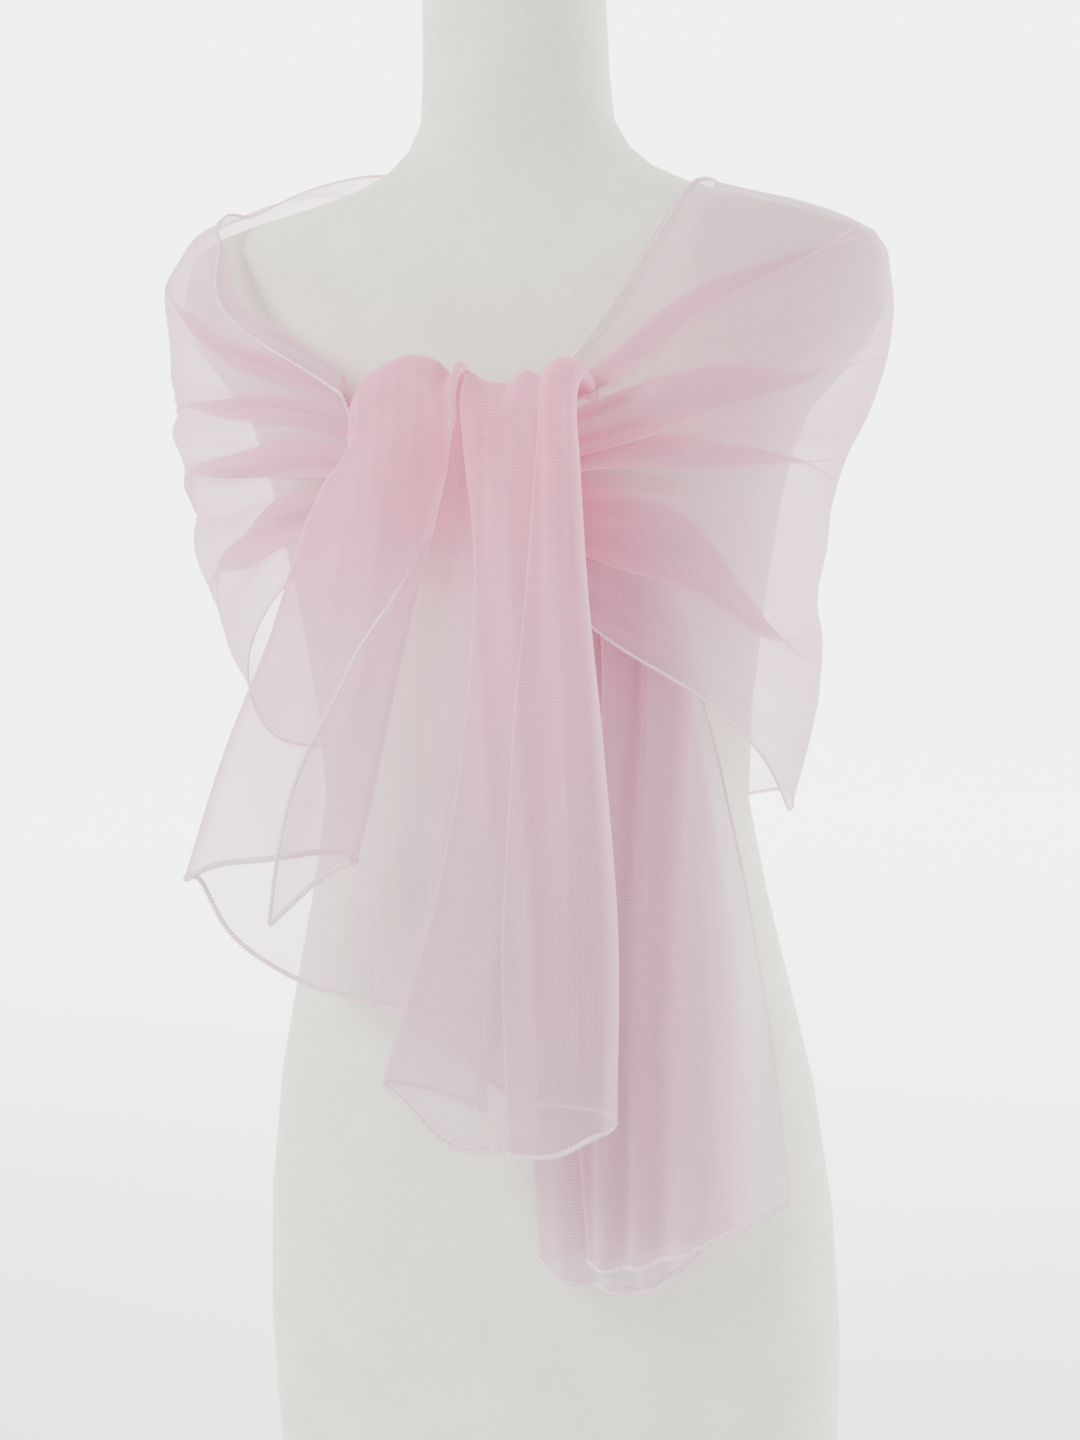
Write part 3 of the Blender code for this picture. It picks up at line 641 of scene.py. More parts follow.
def into_knot(row, side):
    """Rows that take the end of the wrap into the knot, where it is gathered."""
    rows = []
    for part in np.linspace(0, 1, KNOT_ENTRY_ROWS + 1)[1:]:
        pinched = row.copy()
        pinched[:, 0] -= side * KNOT_ENTRY * part
        pinched[:, 1:] += (KNOT_HEART - row[:, 1:]) * KNOT_PINCH * ease(part * KNOT_PINCH_PACE)
        rows.append(pinched)
    return np.array(rows)


def make_wrap(tree):
    """The stretch over both shoulders and round the back, as one sheet."""
    places = rib_places()
    length = places[-1]
    place = np.linspace(0, length, WRAP_ROWS)
    left, right = wrap_columns()
    part = ease((place / length - SWAP_FROM) / SWAP_OVER)[:, None]
    flat, bundled, layer, bulge = (a + (b - a) * part for a, b in zip(left, right))
    strength = np.clip(hermite(places, FOLD_STRENGTH, place), 0.0, 1.0)[:, None]
    raised = ease((strength - FIRST_LIFT) / (FULL_LIFT - FIRST_LIFT))
    share = (1 - strength) * flat + strength * bundled
    points = wrap_surface(place, share)
    step, share_step = 0.002, 0.04
    along = wrap_surface(place + step, share) - wrap_surface(place - step, share)
    down = wrap_surface(place, share + share_step) - wrap_surface(place, share - share_step)
    out = unit(np.cross(down, along))
    closer = 1 - CLOSER * (1 - part) * ease((CLOSER_BELOW - strength) / CLOSER_OVER)
    lift = raised * (left[2, -1] - layer) * LAYER_GAP * closer
    from_knot = np.minimum(place, length - place)[:, None]
    behind = ease((from_knot / length - SWAG_FROM) / SWAG_OVER)
    round_back = np.clip(place / length, BACK_STATIONS[0], BACK_STATIONS[-1])
    for shares, heights, half_width in BACK_SWAGS:
        centre = hermite(BACK_STATIONS, shares, round_back)[:, None]
        height = hermite(BACK_STATIONS, heights, round_back)[:, None]
        lift = lift + behind * height * ease(1 - np.abs(share - centre) / half_width)
    gathers = 1 + np.sin(2 * math.pi * share / GATHER_PITCH + GATHER_SLANT * place[:, None])
    lift = lift + GATHER_HEIGHT * gathers * ease(1 - from_knot / GATHER_REACH)
    crease_highlight = 0.0
    for side, near, far, start, end, height, half_width in WRAP_CREASES:
        gone = place if side == "left" else length - place
        t = (gone - start) / (end - start)
        fade = (ease(t * CREASE_RISE) * ease(1 - t))[:, None]
        centre = (near + (far - near) * np.clip(t, 0, 1))[:, None]
        lift = lift + height * fade * np.exp(-((share - centre) / half_width) ** 2)
        # Each crease is a narrow line of painted highlight, lighter and denser pink
        crease_highlight = crease_highlight + fade * np.exp(-((share - centre) / (CREASE_WIDTH * half_width)) ** 2)
    points = clear_of_form(tree, points)
    edge = unit(down) * (bulge * raised * LAYER_GAP / 2)[:, :, None]
    points = points + out * lift[:, :, None] + edge
    points = soften(points, rounds=2)
    points = clear_of_form(tree, points)
    patch = np.exp(-((share - PATCH_CENTRE) / PATCH_HALF_WIDTH) ** 2)
    patch = patch * np.exp(-(place[:, None] / PATCH_REACH) ** 2)
    left_bands, right_bands = (sum(between(share, *fold[1:]) for fold in folds)
                               for folds in (LEFT_FOLDS, RIGHT_FOLDS))
    banded = left_bands + (right_bands - left_bands) * part
    near_knot = ease((strength - DENSE_FROM) / (1 - DENSE_FROM))
    gather = DENSE_NEAR_KNOT * near_knot + DENSE_PATCH * patch
    gather = gather + DENSE_FOLD * banded * strength ** DENSE_FOLD_FADE
    # Fold edges are partly denser cloth and partly painted highlight; pressed creases are painted
    # highlight
    crest_and_highlight = np.abs(bulge) * raised + CREASE_HIGHLIGHT * crease_highlight
    ends = ((KNOT_ENTRY_ROWS, KNOT_ENTRY_ROWS), (0, 0))
    gather, crest_and_highlight = np.pad(gather, ends, mode="edge"), np.pad(crest_and_highlight, ends, mode="edge")
    before, after = into_knot(points[0], 1.0)[::-1], into_knot(points[-1], -1.0)
    points = np.concatenate((before, points, after))
    run = np.linspace(0, KNOT_ENTRY, KNOT_ENTRY_ROWS + 1)[1:]
    place = np.concatenate((-run[::-1], place, length + run))
    along_cut, across_cut = place / length * WRAP_LENGTH, left[0] * CUT_WIDTH
    piece = sheet_mesh("wrap", points, along_cut, across_cut, gather, crest_and_highlight, turned=True)
    return piece, points


def hanging_sections(lines, progress, layers, depths, count_per_m):
    """Points of a hanging end, row by row, with round turns at its folds and bowed runs.

    lines: kind and a path (x, z) per row. Returns the grid, and how far each column is a fold's
    edge, where the cloth is denser and a highlight is painted.
    """
    kinds = [kind for kind, _ in lines]
    paths = np.array([path for _, path in lines])
    steps = np.linalg.norm(np.diff(paths, axis=0), axis=2)
    middle = steps[:, len(progress) // 2:].mean(axis=1)
    where = np.concatenate(([0.0], np.cumsum(middle + TURN_LENGTH)))
    stops = [i for i, kind in enumerate(kinds) if kind != "pass"]
    progress = np.asarray(progress)[:, None]
    heights = hermite(where, paths[:, :, 1], where)
    columns, crest_and_highlight = [], []
    for run, (first, last) in enumerate(zip(stops, stops[1:])):
        count = max(8, int((where[last] - where[first]) * count_per_m))
        at = np.linspace(where[first], where[last], count)
        inner = where[first:last + 1]
        if len(inner) > 2:
            x = hermite(inner, paths[first:last + 1, :, 0], at)
        else:
            t = ((at - inner[0]) / (inner[1] - inner[0]))[:, None]
            x = paths[first, None, :, 0] * (1 - t) + paths[last, None, :, 0] * t
        z = hermite(where, paths[:, :, 1], at)
        top, hem, bow, puff = layers[run]
        front = top + (hem - top) * progress.T
        u = (at - at[0]) / (at[-1] - at[0])
        below = ease(progress.T / PUFF_RISE) * (1 - ease((progress.T - PUFF_UNTIL) / PUFF_FADE))
        swell = np.sin(math.pi * u)[:, None] ** 2 * (bow * progress.T ** BOW_PACE + puff * below)
        y = depths[None, :] - front - swell
        columns += list(np.stack((x, y, z), -1))
        crest_and_highlight += [0.0] * count
        if last == stops[-1]:
            break
        after = layers[run + 1]
        ahead = after[0] + (after[1] - after[0]) * progress.T[0]
        side = np.sign(paths[last, :, 0].mean() - paths[last - 1, :, 0].mean())
        gap = np.abs(ahead - front[0])
        for turn in np.linspace(0, math.pi, TURN_COLUMNS + 2)[1:-1]:
            layer = front[0] + (ahead - front[0]) * (1 - math.cos(turn)) / 2
            bulge = side * math.sin(turn) * np.minimum(gap / 2, TURN_BULGE)
            columns.append(np.stack((paths[last, :, 0] + bulge, depths - layer, heights[last]), -1))
            crest_and_highlight.append(TURN_CREST)
    grid = np.array(columns).transpose(1, 0, 2)
    return grid, np.array(crest_and_highlight)


def ridge(grid, x_top, z_top, x_low, z_low, height, half_width):
    """Height of a soft ridge at each point of a grid, along a line that dies away at its ends."""
    t = (z_top - grid[:, :, 2]) / (z_top - z_low)
    centre = x_top + (x_low - x_top) * t
    fade = ease(t / RIDGE_RISE) * ease((RIDGE_END - t) / RIDGE_FADE)
    return height * fade * np.exp(-((grid[:, :, 0] - centre) / half_width) ** 2)


def spread_cut(grid, width):
    """Each column's place across the cut, from the cloth's length at the middle rows."""
    steps = np.linalg.norm(np.diff(grid, axis=1), axis=2)
    steps = steps[len(grid) // 3:].mean(axis=0)
    gone = np.concatenate(([0.0], np.cumsum(steps)))
    return gone / gone[-1] * width


def make_front_fall():
    """The end that rolls over the knot and falls in front of it."""
    roll = np.array(FALL_ROLL + ((FALL_DEPTH[0], FALL_START),))
    gone = np.concatenate(([0.0], np.cumsum(np.linalg.norm(np.diff(roll, axis=0), axis=1))))
    route = hermite(gone, roll, np.linspace(0, gone[-1], ROLL_ROWS + 1)[:-1])
    drop = np.linspace(0, 1, FALL_ROWS)
    progress = np.concatenate((np.zeros(ROLL_ROWS), drop))
    depths = np.concatenate((route[:, 0], hermite(FALL_DROP, FALL_DEPTH, drop)))
    lines = []
    for _, kind, across, hem in FALL_LINES:
        x = np.concatenate((np.full(ROLL_ROWS, across[0]), hermite(FALL_DROP, across, drop)))
        z = np.concatenate((np.full(ROLL_ROWS, FALL_START), FALL_START + (hem - FALL_START) * drop))
        lines.append((kind, np.stack((x, z), -1)))
    grid, crest_and_highlight = hanging_sections(lines, progress, FALL_LAYERS, depths, FALL_COLUMNS_PER_M)
    for k in range(ROLL_ROWS):
        before = route[max(k - 1, 0)]
        after = route[k + 1] if k + 1 < ROLL_ROWS else roll[-1]
        along = (after - before) / np.linalg.norm(after - before)
        lift = depths[k] - grid[k, :, 1]
        grid[k, :, 1] = depths[k] + lift * along[1]
        grid[k, :, 2] = route[k, 1] - lift * along[0]
    waves = sum(part * np.sin(grid[:, :, 0] * pace + start) for part, pace, start in FALL_WAVES)
    fade = np.concatenate((np.ones(ROLL_ROWS), 1 - ease(drop / WAVES_END)))[:, None]
    grid[:, :, 1] -= FALL_WAVE * waves * fade
    # Painted highlight: a narrow lighter, denser line down each ridge
    crest_and_highlight = crest_and_highlight + sum(ridge(grid, *row[:4], CREASE_HIGHLIGHT, RIDGE_CREASE_WIDTH * row[5])
                        for row in FALL_RIDGES)
    ridges = sum(ridge(grid, *row) for row in FALL_RIDGES)
    grid[:, :, 1] -= ridges * np.concatenate((np.zeros(ROLL_ROWS), ease(drop / RIDGES_UP)))[:, None]
    x, rise = np.array(FALL_HUMPS).T
    low = np.concatenate((np.zeros(ROLL_ROWS), drop * FALL_LENGTH))[:, None]
    grid[:, :, 2] += hermite(x, rise, grid[:, :, 0]) * (1 - ease(low / HUMP_REACH))
    grid = soften(grid, rounds=3)
    cut = spread_cut(grid, CUT_WIDTH)
    below_roll = ROLL_LENGTH + drop * (FALL_LENGTH - ROLL_LENGTH)
    down = np.concatenate((np.linspace(0, ROLL_LENGTH, ROLL_ROWS), below_roll))
    gather = np.concatenate((np.ones(ROLL_ROWS), 1 - ease(drop / FALL_DENSE_END)))[:, None]
    piece = sheet_mesh("front_fall", grid, down, cut, gather, crest_and_highlight)
    return piece, grid


def make_under_tail():
    """The end that hangs behind the front fall."""
    progress = np.linspace(0, 1, TAIL_ROWS) ** TAIL_ROWS_PACE
    depths = hermite(TAIL_STEPS, TAIL_DEPTH, progress)
    lines = [(kind, hermite(TAIL_STEPS, path, progress)) for _, kind, path in TAIL_LINES]
    grid, crest_and_highlight = hanging_sections(lines, progress, TAIL_LAYERS, depths, TAIL_COLUMNS_PER_M)
    held = 1 - ease((progress - TAIL_FREE_FROM) / TAIL_FREE_OVER)[:, None]
    grid[:, :, 1] += TAIL_TUCK * np.maximum(0.0, grid[:, :, 0] - TAIL_TUCK_FROM) * held
    turned = ease(progress / TAIL_TURNED)[:, None]
    across = grid[:, :, 0] * turned + grid[:, :, 2] * (1 - turned)
    fine = FINE_FLUTE * (1 - ease(progress / FINE_FLUTE_END))[:, None] + FINE_FLUTE_AT_HEM
    flatter = 1 - FLATTER * ease((grid[:, :, 0] - FLATTER_FROM) / FLATTER_OVER)
    broad = BROAD_FLUTE * ease(progress / BROAD_FLUTE_UP)[:, None] * flatter
    drift = DRIFT * np.sin(across * DRIFT_PACE + DRIFT_START) + DRIFT_DOWN * progress[:, None]
    fine = fine * np.sin(across * FINE_FLUTE_PACE + FINE_DRIFT * drift)
    broad = broad * np.sin(across * BROAD_FLUTE_PACE + BROAD_FLUTE_START + drift)
    grid[:, :, 1] -= fine + broad
    grid = soften(grid, rounds=3)
    cut = spread_cut(grid, CUT_WIDTH)
    gather = (1 - ease(progress / TAIL_DENSE_END))[:, None] * TAIL_DENSE
    piece = sheet_mesh("under_tail", grid, progress * TAIL_LENGTH, cut, gather, crest_and_highlight, turned=True)
    return piece, grid


def make_knot():
    """The gathered cloth round the bundle that the front fall covers."""
    keys = [row[0] for row in KNOT_SECTIONS]
    x = np.linspace(keys[0], keys[-1], KNOT_ROWS)
    table = hermite(keys, KNOT_SECTIONS, x)
    turn = np.linspace(0, 2 * math.pi, KNOT_SIDES)
    wave = np.cos(KNOT_PLEATS * turn[None, :] + KNOT_TWIST * x[:, None])
    broad = np.cos(KNOT_BROAD_PLEATS * turn[None, :] - KNOT_BROAD_TWIST * x[:, None]
                   + KNOT_BROAD_START)
    pleat = KNOT_PLEAT * (wave + KNOT_BROAD_SHARE * broad)
    to_end = np.minimum(x - x[0], x[-1] - x)[:, None] / KNOT_ROUNDING
    rounded = np.sqrt(1 - KNOT_ROUNDNESS * (1 - np.clip(to_end, 0, 1)) ** 2)
    up = (table[:, 3:4] - KNOT_INSET + pleat) * np.cos(turn)
    out = (table[:, 4:5] - KNOT_INSET + pleat) * np.sin(turn)
    up = up * (KNOT_END_HEIGHT + (1 - KNOT_END_HEIGHT) * rounded)
    out = out * (KNOT_END_DEPTH + (1 - KNOT_END_DEPTH) * rounded)
    across = np.broadcast_to(x[:, None], up.shape)
    grid = np.stack((across, table[:, 1:2] - out, table[:, 2:3] + up), -1)
    above_foot = grid[:, :, 2] - table[:, 2:3] + table[:, 3:4]
    gather = 1 - KNOT_THINNING * ease((KNOT_THIN_EDGE - above_foot) / KNOT_THIN_EDGE)
    round_cut = turn / (2 * math.pi) * KNOT_CUT[0]
    return sheet_mesh("knot", grid, x - x[0], round_cut, gather, 0.0, turned=True)


def make_hem(name, rails):
    """An overlocked edge along rails: the edge's points, points inside the cloth, size, taper."""
    vertices, faces = [], []
    for edge, inside, size, taper in rails:
        lengths = np.concatenate(([0.0], np.cumsum(np.linalg.norm(np.diff(edge, axis=0), axis=1))))
        count = int(lengths[-1] / HEM_STEP)
        at = np.linspace(0, lengths[-1], count)
        line = np.stack([np.interp(at, lengths, edge[:, i]) for i in range(3)], -1)
        inner = np.stack([np.interp(at, lengths, inside[:, i]) for i in range(3)], -1)
        tangent = unit(np.gradient(line, axis=0))
        away = line - inner
        away = unit(away - (away * tangent).sum(-1, keepdims=True) * tangent)
        normal = np.cross(tangent, away)
        turn = np.linspace(0, 2 * math.pi, HEM_SIDES, endpoint=False)
        stitch = 2 * math.pi * at[:, None] / STITCH_PITCH
        swell = size * (1 + STITCH_BEAD * np.cos(stitch + turn[None, :]))
        if taper:
            swell = swell * (HEM_START + (1 - HEM_START) * ease(at / taper))[:, None]
        wide = HEM_WIDE * np.cos(turn)[None, :] * swell
        thick = HEM_THICK * np.sin(turn)[None, :] * swell
        rings = line[:, None] + away[:, None] * wide[:, :, None]
        rings = rings + normal[:, None] * thick[:, :, None]
        base = len(vertices)
        vertices += rings.reshape(-1, 3).tolist()
        index = base + np.arange(count * HEM_SIDES).reshape(count, HEM_SIDES)
        after = np.roll(index, -1, axis=1)
        quads = np.stack((index[:-1], after[:-1], after[1:], index[1:]), -1)
        faces += quads.reshape(-1, 4).tolist()
        faces.append(index[0][::-1].tolist())
        faces.append(index[-1].tolist())
    mesh = bpy.data.meshes.new(name)
    mesh.from_pydata(vertices, [], faces)
    return placed(name, mesh)


def linear(code):
    """A linear colour from an sRGB hex code."""
    parts = [int(code[i:i + 2], 16) / 255 for i in (1, 3, 5)]
    return (*(p / 12.92 if p <= 0.04045 else ((p + 0.055) / 1.055) ** 2.4 for p in parts), 1.0)


def new_material(name):
    """An empty material and its output node."""
    material = bpy.data.materials.new(name)
    material.use_nodes = True
    tree = material.node_tree
    tree.nodes.clear()
    return material, tree, tree.nodes.new("ShaderNodeOutputMaterial")


def add(tree, kind, links=(), **settings):
    """Add a node with its settings, and link (its input, from node, from output)."""
    node = tree.nodes.new(kind)
    for key, value in settings.items():
        if key.startswith("in_"):
            name = key[3:]
            slot = node.inputs[int(name)] if name.isdigit() else node.inputs[name.replace("_", " ")]
            slot.default_value = value
        else:
            setattr(node, key, value)
    for target, source, output in links:
        tree.links.new(source.outputs[output], node.inputs[target])
    return node


# Sizes of the patterns. Threads are coarser than the real 0.3 mm, the nap than 0.3 mm and the
# thread's plies than 0.2 mm, so that they show
THREAD_PITCH = 0.0015
PLY_SIZE = 0.0011
NAP_SIZE = 0.0024
MOTTLE_SIZE = 0.036
GRAIN_LENGTH = 0.055
GRAIN_WIDTH = 0.0056
# The weft lies closer than the warp
WEFT_CLOSER = 1.1
# Repeats of a wave texture in a unit, at a scale of 1
WAVE_REPEATS = 20 / (2 * math.pi)

# How much the chiffon covers: between and over its threads, then what is added where it is seen
# edge on, where it is gathered, and on a fold's edge and along the painted crease highlights
THREAD_COVER = (0.28, 0.54)
EDGE_COVER = 0.50
GATHER_COVER = 0.22
CREST_COVER = 0.50


def chiffon_material():
    """Sheer polyester chiffon: a thin, see-through plain weave, denser where it is gathered.

    Its fold edges and pressed creases are denser and a lighter pink, partly from the cloth seen
    edge on and partly a painted highlight.
    """
    material, tree, output = new_material("polyester chiffon")
    cut = add(tree, "ShaderNodeUVMap", uv_map="cut")
    gather = add(tree, "ShaderNodeAttribute", attribute_name="gather")
    crest_and_highlight = add(tree, "ShaderNodeAttribute", attribute_name="crest_and_highlight")
    scale = 1 / (WAVE_REPEATS * THREAD_PITCH)
    warp = add(tree, "ShaderNodeTexWave", [("Vector", cut, "UV")], bands_direction="X",
               in_Scale=scale, in_Detail=0.0)
    weft = add(tree, "ShaderNodeTexWave", [("Vector", cut, "UV")], bands_direction="Y",
               in_Scale=scale * WEFT_CLOSER, in_Detail=0.0)
    threads = add(tree, "ShaderNodeMath", [(0, warp, "Fac"), (1, weft, "Fac")], operation="ADD")
    cover = add(tree, "ShaderNodeMapRange", [("Value", threads, 0)], in_From_Max=2.0,
                in_To_Min=THREAD_COVER[0], in_To_Max=THREAD_COVER[1])
    facing = add(tree, "ShaderNodeLayerWeight", in_Blend=0.35)
    edge = add(tree, "ShaderNodeMath", [(0, facing, "Facing")], operation="MULTIPLY",
               in_1=EDGE_COVER)
    denser = add(tree, "ShaderNodeMath", [(0, gather, "Fac")], operation="MULTIPLY",
                 in_1=GATHER_COVER)
    total = add(tree, "ShaderNodeMath", [(0, cover, 0), (1, edge, 0)], operation="ADD")
    total = add(tree, "ShaderNodeMath", [(0, total, 0), (1, denser, 0)], operation="ADD",
                use_clamp=True)
    total = add(tree, "ShaderNodeMath", [(0, crest_and_highlight, "Fac"), (2, total, 0)],
                operation="MULTIPLY_ADD", in_1=CREST_COVER, use_clamp=True)
    pink = add(tree, "ShaderNodeMix", [("Factor", gather, "Fac")], data_type="RGBA")
    pink.inputs[6].default_value = linear("#EFD2E2")
    pink.inputs[7].default_value = linear("#FFC6DC")
    # Painted highlight: a lighter pink on fold edges and pressed creases
    colour = add(tree, "ShaderNodeMix", [("Factor", crest_and_highlight, "Fac"), (6, pink, 2)], data_type="RGBA")
    colour.inputs[7].default_value = linear("#FFDDE8")
    cloth = add(tree, "ShaderNodeBsdfPrincipled", [("Base Color", colour, 2)], in_Roughness=0.62,
                in_Specular_IOR_Level=0.0, in_Sheen_Weight=0.5, in_Sheen_Roughness=0.35)
    glow = add(tree, "ShaderNodeBsdfTranslucent", [("Color", colour, 2)])
    body = add(tree, "ShaderNodeMixShader", [(1, cloth, 0), (2, glow, 0)], in_Fac=0.45)
    clear = add(tree, "ShaderNodeBsdfTransparent", in_Color=(0.99, 0.945, 0.968, 1.0))
    mixed = add(tree, "ShaderNodeMixShader", [(0, total, 0), (1, clear, 0), (2, body, 0)])
    tree.links.new(mixed.outputs[0], output.inputs["Surface"])
    return material


def hem_material():
    """Overlock thread: a lighter pink, matte, with its plies as fine bumps."""
    material, tree, output = new_material("overlock thread")
    place = add(tree, "ShaderNodeTexCoord")
    plies = add(tree, "ShaderNodeTexNoise", [("Vector", place, "Object")],
                in_Scale=1 / PLY_SIZE, in_Detail=2.0)
    colour = add(tree, "ShaderNodeMix", [("Factor", plies, "Fac")], data_type="RGBA")
    colour.inputs[6].default_value = linear("#F6CCD8")
    colour.inputs[7].default_value = linear("#FFEBF0")
    bump = add(tree, "ShaderNodeBump", [("Height", plies, "Fac")],
               in_Strength=0.4, in_Distance=0.0003)
    cloth = add(tree, "ShaderNodeBsdfPrincipled", [("Base Color", colour, 2), ("Normal", bump, 0)],
                in_Roughness=0.6, in_Sheen_Weight=0.4)
    tree.links.new(cloth.outputs[0], output.inputs["Surface"])
    return material


def jersey_material():
    """Brushed cotton jersey over foam: ivory, matte, softly mottled."""
    material, tree, output = new_material("brushed cotton jersey")
    place = add(tree, "ShaderNodeTexCoord")
    mottle = add(tree, "ShaderNodeTexNoise", [("Vector", place, "Object")],
                 in_Scale=1 / MOTTLE_SIZE, in_Detail=4.0)
    nap = add(tree, "ShaderNodeTexNoise", [("Vector", place, "Object")],
              in_Scale=1 / NAP_SIZE, in_Detail=3.0)
    both = add(tree, "ShaderNodeMath", [(0, mottle, "Fac"), (1, nap, "Fac")], operation="ADD")
    tone = add(tree, "ShaderNodeMapRange", [("Value", both, 0)], in_From_Min=0.7, in_From_Max=1.3)
    colour = add(tree, "ShaderNodeMix", [("Factor", tone, 0)], data_type="RGBA")
    colour.inputs[6].default_value = linear("#E9E6D5")
    colour.inputs[7].default_value = linear("#F6F4E6")
    bump = add(tree, "ShaderNodeBump", [("Height", nap, "Fac")],
               in_Strength=0.35, in_Distance=0.0008)
    cloth = add(tree, "ShaderNodeBsdfPrincipled", [("Base Color", colour, 2), ("Normal", bump, 0)],
                in_Roughness=0.92, in_Specular_IOR_Level=0.0)
    tree.links.new(cloth.outputs[0], output.inputs["Surface"])
    return material


def beech_material():
    """Oiled beech: pale brown with fine straight grain and short dark flecks."""
    material, tree, output = new_material("oiled beech")
    place = add(tree, "ShaderNodeTexCoord")
    sizes = (1 / GRAIN_LENGTH, 1 / GRAIN_WIDTH, 1 / GRAIN_WIDTH)
    stretch = add(tree, "ShaderNodeMapping", [("Vector", place, "Object")], in_Scale=sizes)
    grain = add(tree, "ShaderNodeTexNoise", [("Vector", stretch, 0)], in_Scale=1.0, in_Detail=6.0)
    colour = add(tree, "ShaderNodeMix", [("Factor", grain, "Fac")], data_type="RGBA")
    colour.inputs[6].default_value = linear("#B98B5C")
    colour.inputs[7].default_value = linear("#DDB88A")
    bump = add(tree, "ShaderNodeBump", [("Height", grain, "Fac")],
               in_Strength=0.15, in_Distance=0.0005)
    wood = add(tree, "ShaderNodeBsdfPrincipled", [("Base Color", colour, 2), ("Normal", bump, 0)],
               in_Roughness=0.42)
    tree.links.new(wood.outputs[0], output.inputs["Surface"])
    return material


def studio_material():
    """Matte white paint on the floor and its curved backdrop, which also glows: a painted light,
    faint in front of the form and brighter behind it.
    """
    material, tree, output = new_material("white studio, painted glow")
    place = add(tree, "ShaderNodeTexCoord")
    parts = add(tree, "ShaderNodeSeparateXYZ", [(0, place, "Object")])
    # Painted glow: light given off by the floor and backdrop themselves, growing towards the back
    behind = add(tree, "ShaderNodeMapRange", [("Value", parts, "Y")],
                 interpolation_type="SMOOTHSTEP",
                 in_From_Min=-1.0, in_From_Max=1.6, in_To_Min=0.15, in_To_Max=3.9)
    paint = add(tree, "ShaderNodeBsdfPrincipled", [("Emission Strength", behind, 0)],
                in_Base_Color=linear("#C4C4C4"), in_Roughness=0.95, in_Specular_IOR_Level=0.0,
                in_Emission_Color=linear("#FFFFFF"))
    tree.links.new(paint.outputs[0], output.inputs["Surface"])
    material.cycles.emission_sampling = "NONE"
    return material


def put(piece, material):
    """Give a piece one material."""
    piece.data.materials.clear()
    piece.data.materials.append(material)


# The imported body's loose triangles are merged, then joined into quads up to these angles
MERGE_DISTANCE = 0.00001
QUAD_FACE_ANGLE = math.radians(40)
QUAD_SHAPE_ANGLE = math.radians(60)


def make_form_cover():
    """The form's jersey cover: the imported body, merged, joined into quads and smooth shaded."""
    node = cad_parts["form_body"]
    bpy.ops.object.select_all(action="DESELECT")
    cover = node.copy()
    cover.data = node.data.copy()
    cover.name = "form_cover"
    for key in list(cover.keys()):
        del cover[key]
    cover.parent = None
    cover.matrix_world = Matrix.Identity(4)
    bpy.context.collection.objects.link(cover)
    cover.hide_render = False
    cover.select_set(True)
    bpy.context.view_layer.objects.active = cover
    bpy.ops.object.mode_set(mode="EDIT")
    bpy.ops.mesh.select_all(action="SELECT")
    bpy.ops.mesh.remove_doubles(threshold=MERGE_DISTANCE)
    bpy.ops.mesh.tris_convert_to_quads(
        face_threshold=QUAD_FACE_ANGLE, shape_threshold=QUAD_SHAPE_ANGLE)
    bpy.ops.object.mode_set(mode="OBJECT")
    cover.data.shade_smooth()
    return cover


# Studio: flat floor, then a curve in even steps up to a straight backdrop
FLOOR_RADIUS = 2.0
CURVE_RADIUS = 1.2
CURVE_STEPS = 10
BACKDROP_STEPS = 4
BACKDROP_STEP = 0.6
LIGHTS = (
    # name, place, size, watts, colour
    ("key", (-1.3, -1.5, 1.9), 0.8, 66.0, "#FFFEFC"),
    ("fill", (1.7, -1.2, 0.9), 1.4, 5.0, "#FAFAFF"),
    ("top", (0.3, 0.7, 2.3), 1.0, 16.0, "#FFFFFF"),
)
LIGHTS_AIM = Vector((0, 0, 0.6))


def make_studio():
    """A plain pale floor that curves up into a round backdrop."""
    bpy.ops.object.select_all(action="DESELECT")
    bpy.ops.mesh.primitive_circle_add(vertices=96, radius=FLOOR_RADIUS, fill_type="NGON")
    floor = bpy.context.object
    floor.name = "studio_floor"
    bpy.ops.object.mode_set(mode="EDIT")
    bpy.ops.mesh.select_mode(type="EDGE")
    bpy.ops.mesh.select_all(action="SELECT")
    bpy.ops.mesh.region_to_loop()
    radius, height = FLOOR_RADIUS, 0.0
    for k in range(1, CURVE_STEPS + BACKDROP_STEPS + 1):
        turn = math.radians(90 * min(k / CURVE_STEPS, 1.0))
        new_radius = FLOOR_RADIUS + CURVE_RADIUS * math.sin(turn)
        new_height = CURVE_RADIUS * (1 - math.cos(turn)) + BACKDROP_STEP * max(0, k - CURVE_STEPS)
        rise = (0, 0, new_height - height)
        bpy.ops.mesh.extrude_region_move(TRANSFORM_OT_translate={"value": rise})
        bpy.ops.transform.resize(value=(new_radius / radius, new_radius / radius, 1.0))
        radius, height = new_radius, new_height
    bpy.ops.mesh.select_all(action="SELECT")
    bpy.ops.mesh.normals_make_consistent(inside=True)
    bpy.ops.object.mode_set(mode="OBJECT")
    floor.data.shade_smooth()
    put(floor, studio_material())
    for name, place, size, watts, code in LIGHTS:
        data = bpy.data.lights.new(name, "AREA")
        data.shape = "DISK"
        data.size = size
        data.energy = watts
        data.color = linear(code)[:3]
        light = bpy.data.objects.new(name, data)
        bpy.context.collection.objects.link(light)
        light.location = place
        aim = LIGHTS_AIM - Vector(place)
        light.rotation_euler = aim.to_track_quat("-Z", "Y").to_euler()
    world = bpy.data.worlds.new("studio")
    world.use_nodes = True
    sky = world.node_tree.nodes["Background"]
    sky.inputs["Color"].default_value = linear("#F4F5F8")
    sky.inputs["Strength"].default_value = 0.08
    bpy.context.scene.world = world


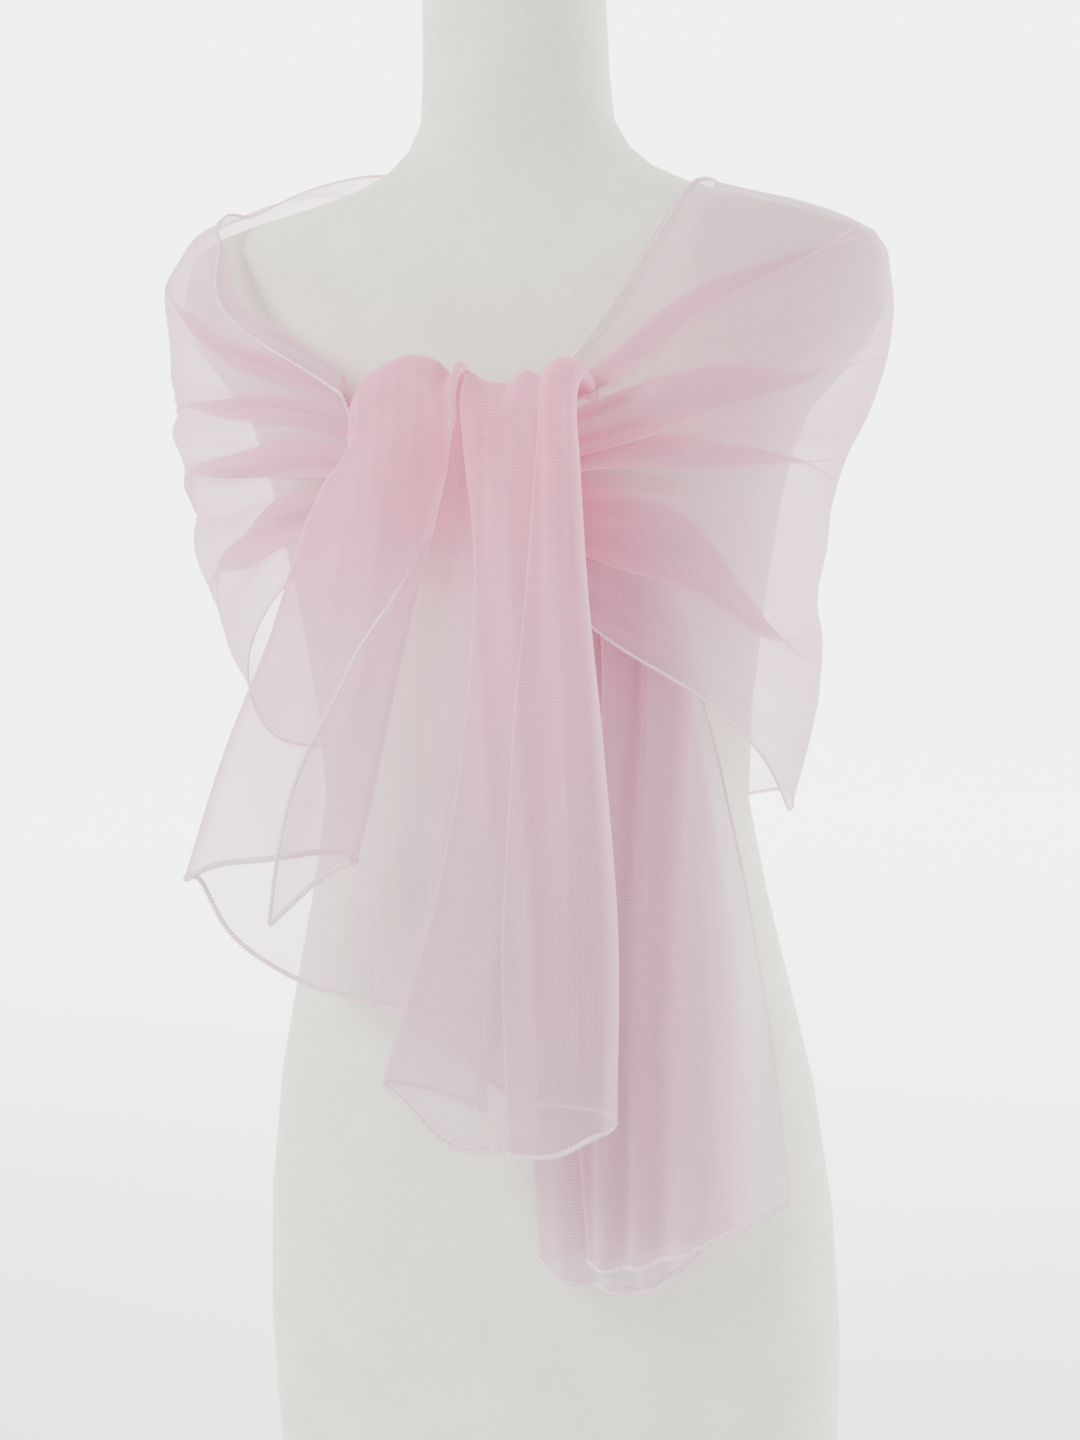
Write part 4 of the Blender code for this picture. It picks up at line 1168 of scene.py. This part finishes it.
def tree_of(node_name):
    """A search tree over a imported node's triangles."""
    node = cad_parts[node_name]
    mesh = node.data
    mesh.calc_loop_triangles()
    points = [vertex.co.copy() for vertex in mesh.vertices]
    triangles = [tuple(t.vertices) for t in mesh.loop_triangles]
    return BVHTree.FromPolygons(points, triangles)


def main():
    """Build the scarf and its form, give each piece its material, and hide the imported pieces they
    stand in for.
    """
    make_camera()
    make_studio()
    chiffon, thread = chiffon_material(), hem_material()
    jersey, beech = jersey_material(), beech_material()
    tree = tree_of("form_body")

    wrap, wrap_grid = make_wrap(tree)
    fall, fall_grid = make_front_fall()
    tail, tail_grid = make_under_tail()
    knot = make_knot()
    wrap_hem = make_hem("wrap_hem", [
        (wrap_grid[:, 0], wrap_grid[:, 2], WRAP_TOP_HEM, 0.0),
        (wrap_grid[:, -1], wrap_grid[:, -3], WRAP_FOOT_HEM, 0.0),
    ])
    fall_hem = make_hem("fall_hem", [
        (fall_grid[WING_HEM_ROW:, 0], fall_grid[WING_HEM_ROW:, 2], WING_HEM, HEM_TAPER),
        (fall_grid[STRIP_HEM_ROW:, -1], fall_grid[STRIP_HEM_ROW:, -3], STRIP_HEM, HEM_TAPER),
        (fall_grid[-1], fall_grid[-3], FOOT_HEM, 0.0),
    ])
    tail_hem = make_hem("tail_hem", [
        (tail_grid[:, 0], tail_grid[:, 2], TAIL_SIDE_HEM, 0.0),
        (tail_grid[:, -1], tail_grid[:, -3], TAIL_SIDE_HEM, 0.0),
        (tail_grid[-1], tail_grid[-3], FOOT_HEM, 0.0),
    ])
    cover = make_form_cover()
    for piece in (wrap, fall, tail, knot):
        put(piece, chiffon)
    for piece in (wrap_hem, fall_hem, tail_hem):
        put(piece, thread)
    put(cover, jersey)
    for name in ("form_base", "form_neck_cap"):
        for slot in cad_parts[name].material_slots:
            slot.material = beech
    for piece in (wrap, fall, tail, knot, wrap_hem, fall_hem, tail_hem, cover):
        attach(piece, "root")
    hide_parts("scarf_left_shoulder", "scarf_back", "scarf_right_shoulder")
    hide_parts("scarf_front_fall")
    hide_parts("scarf_under_tail")
    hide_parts("scarf_knot")
    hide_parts("form_body")


main()
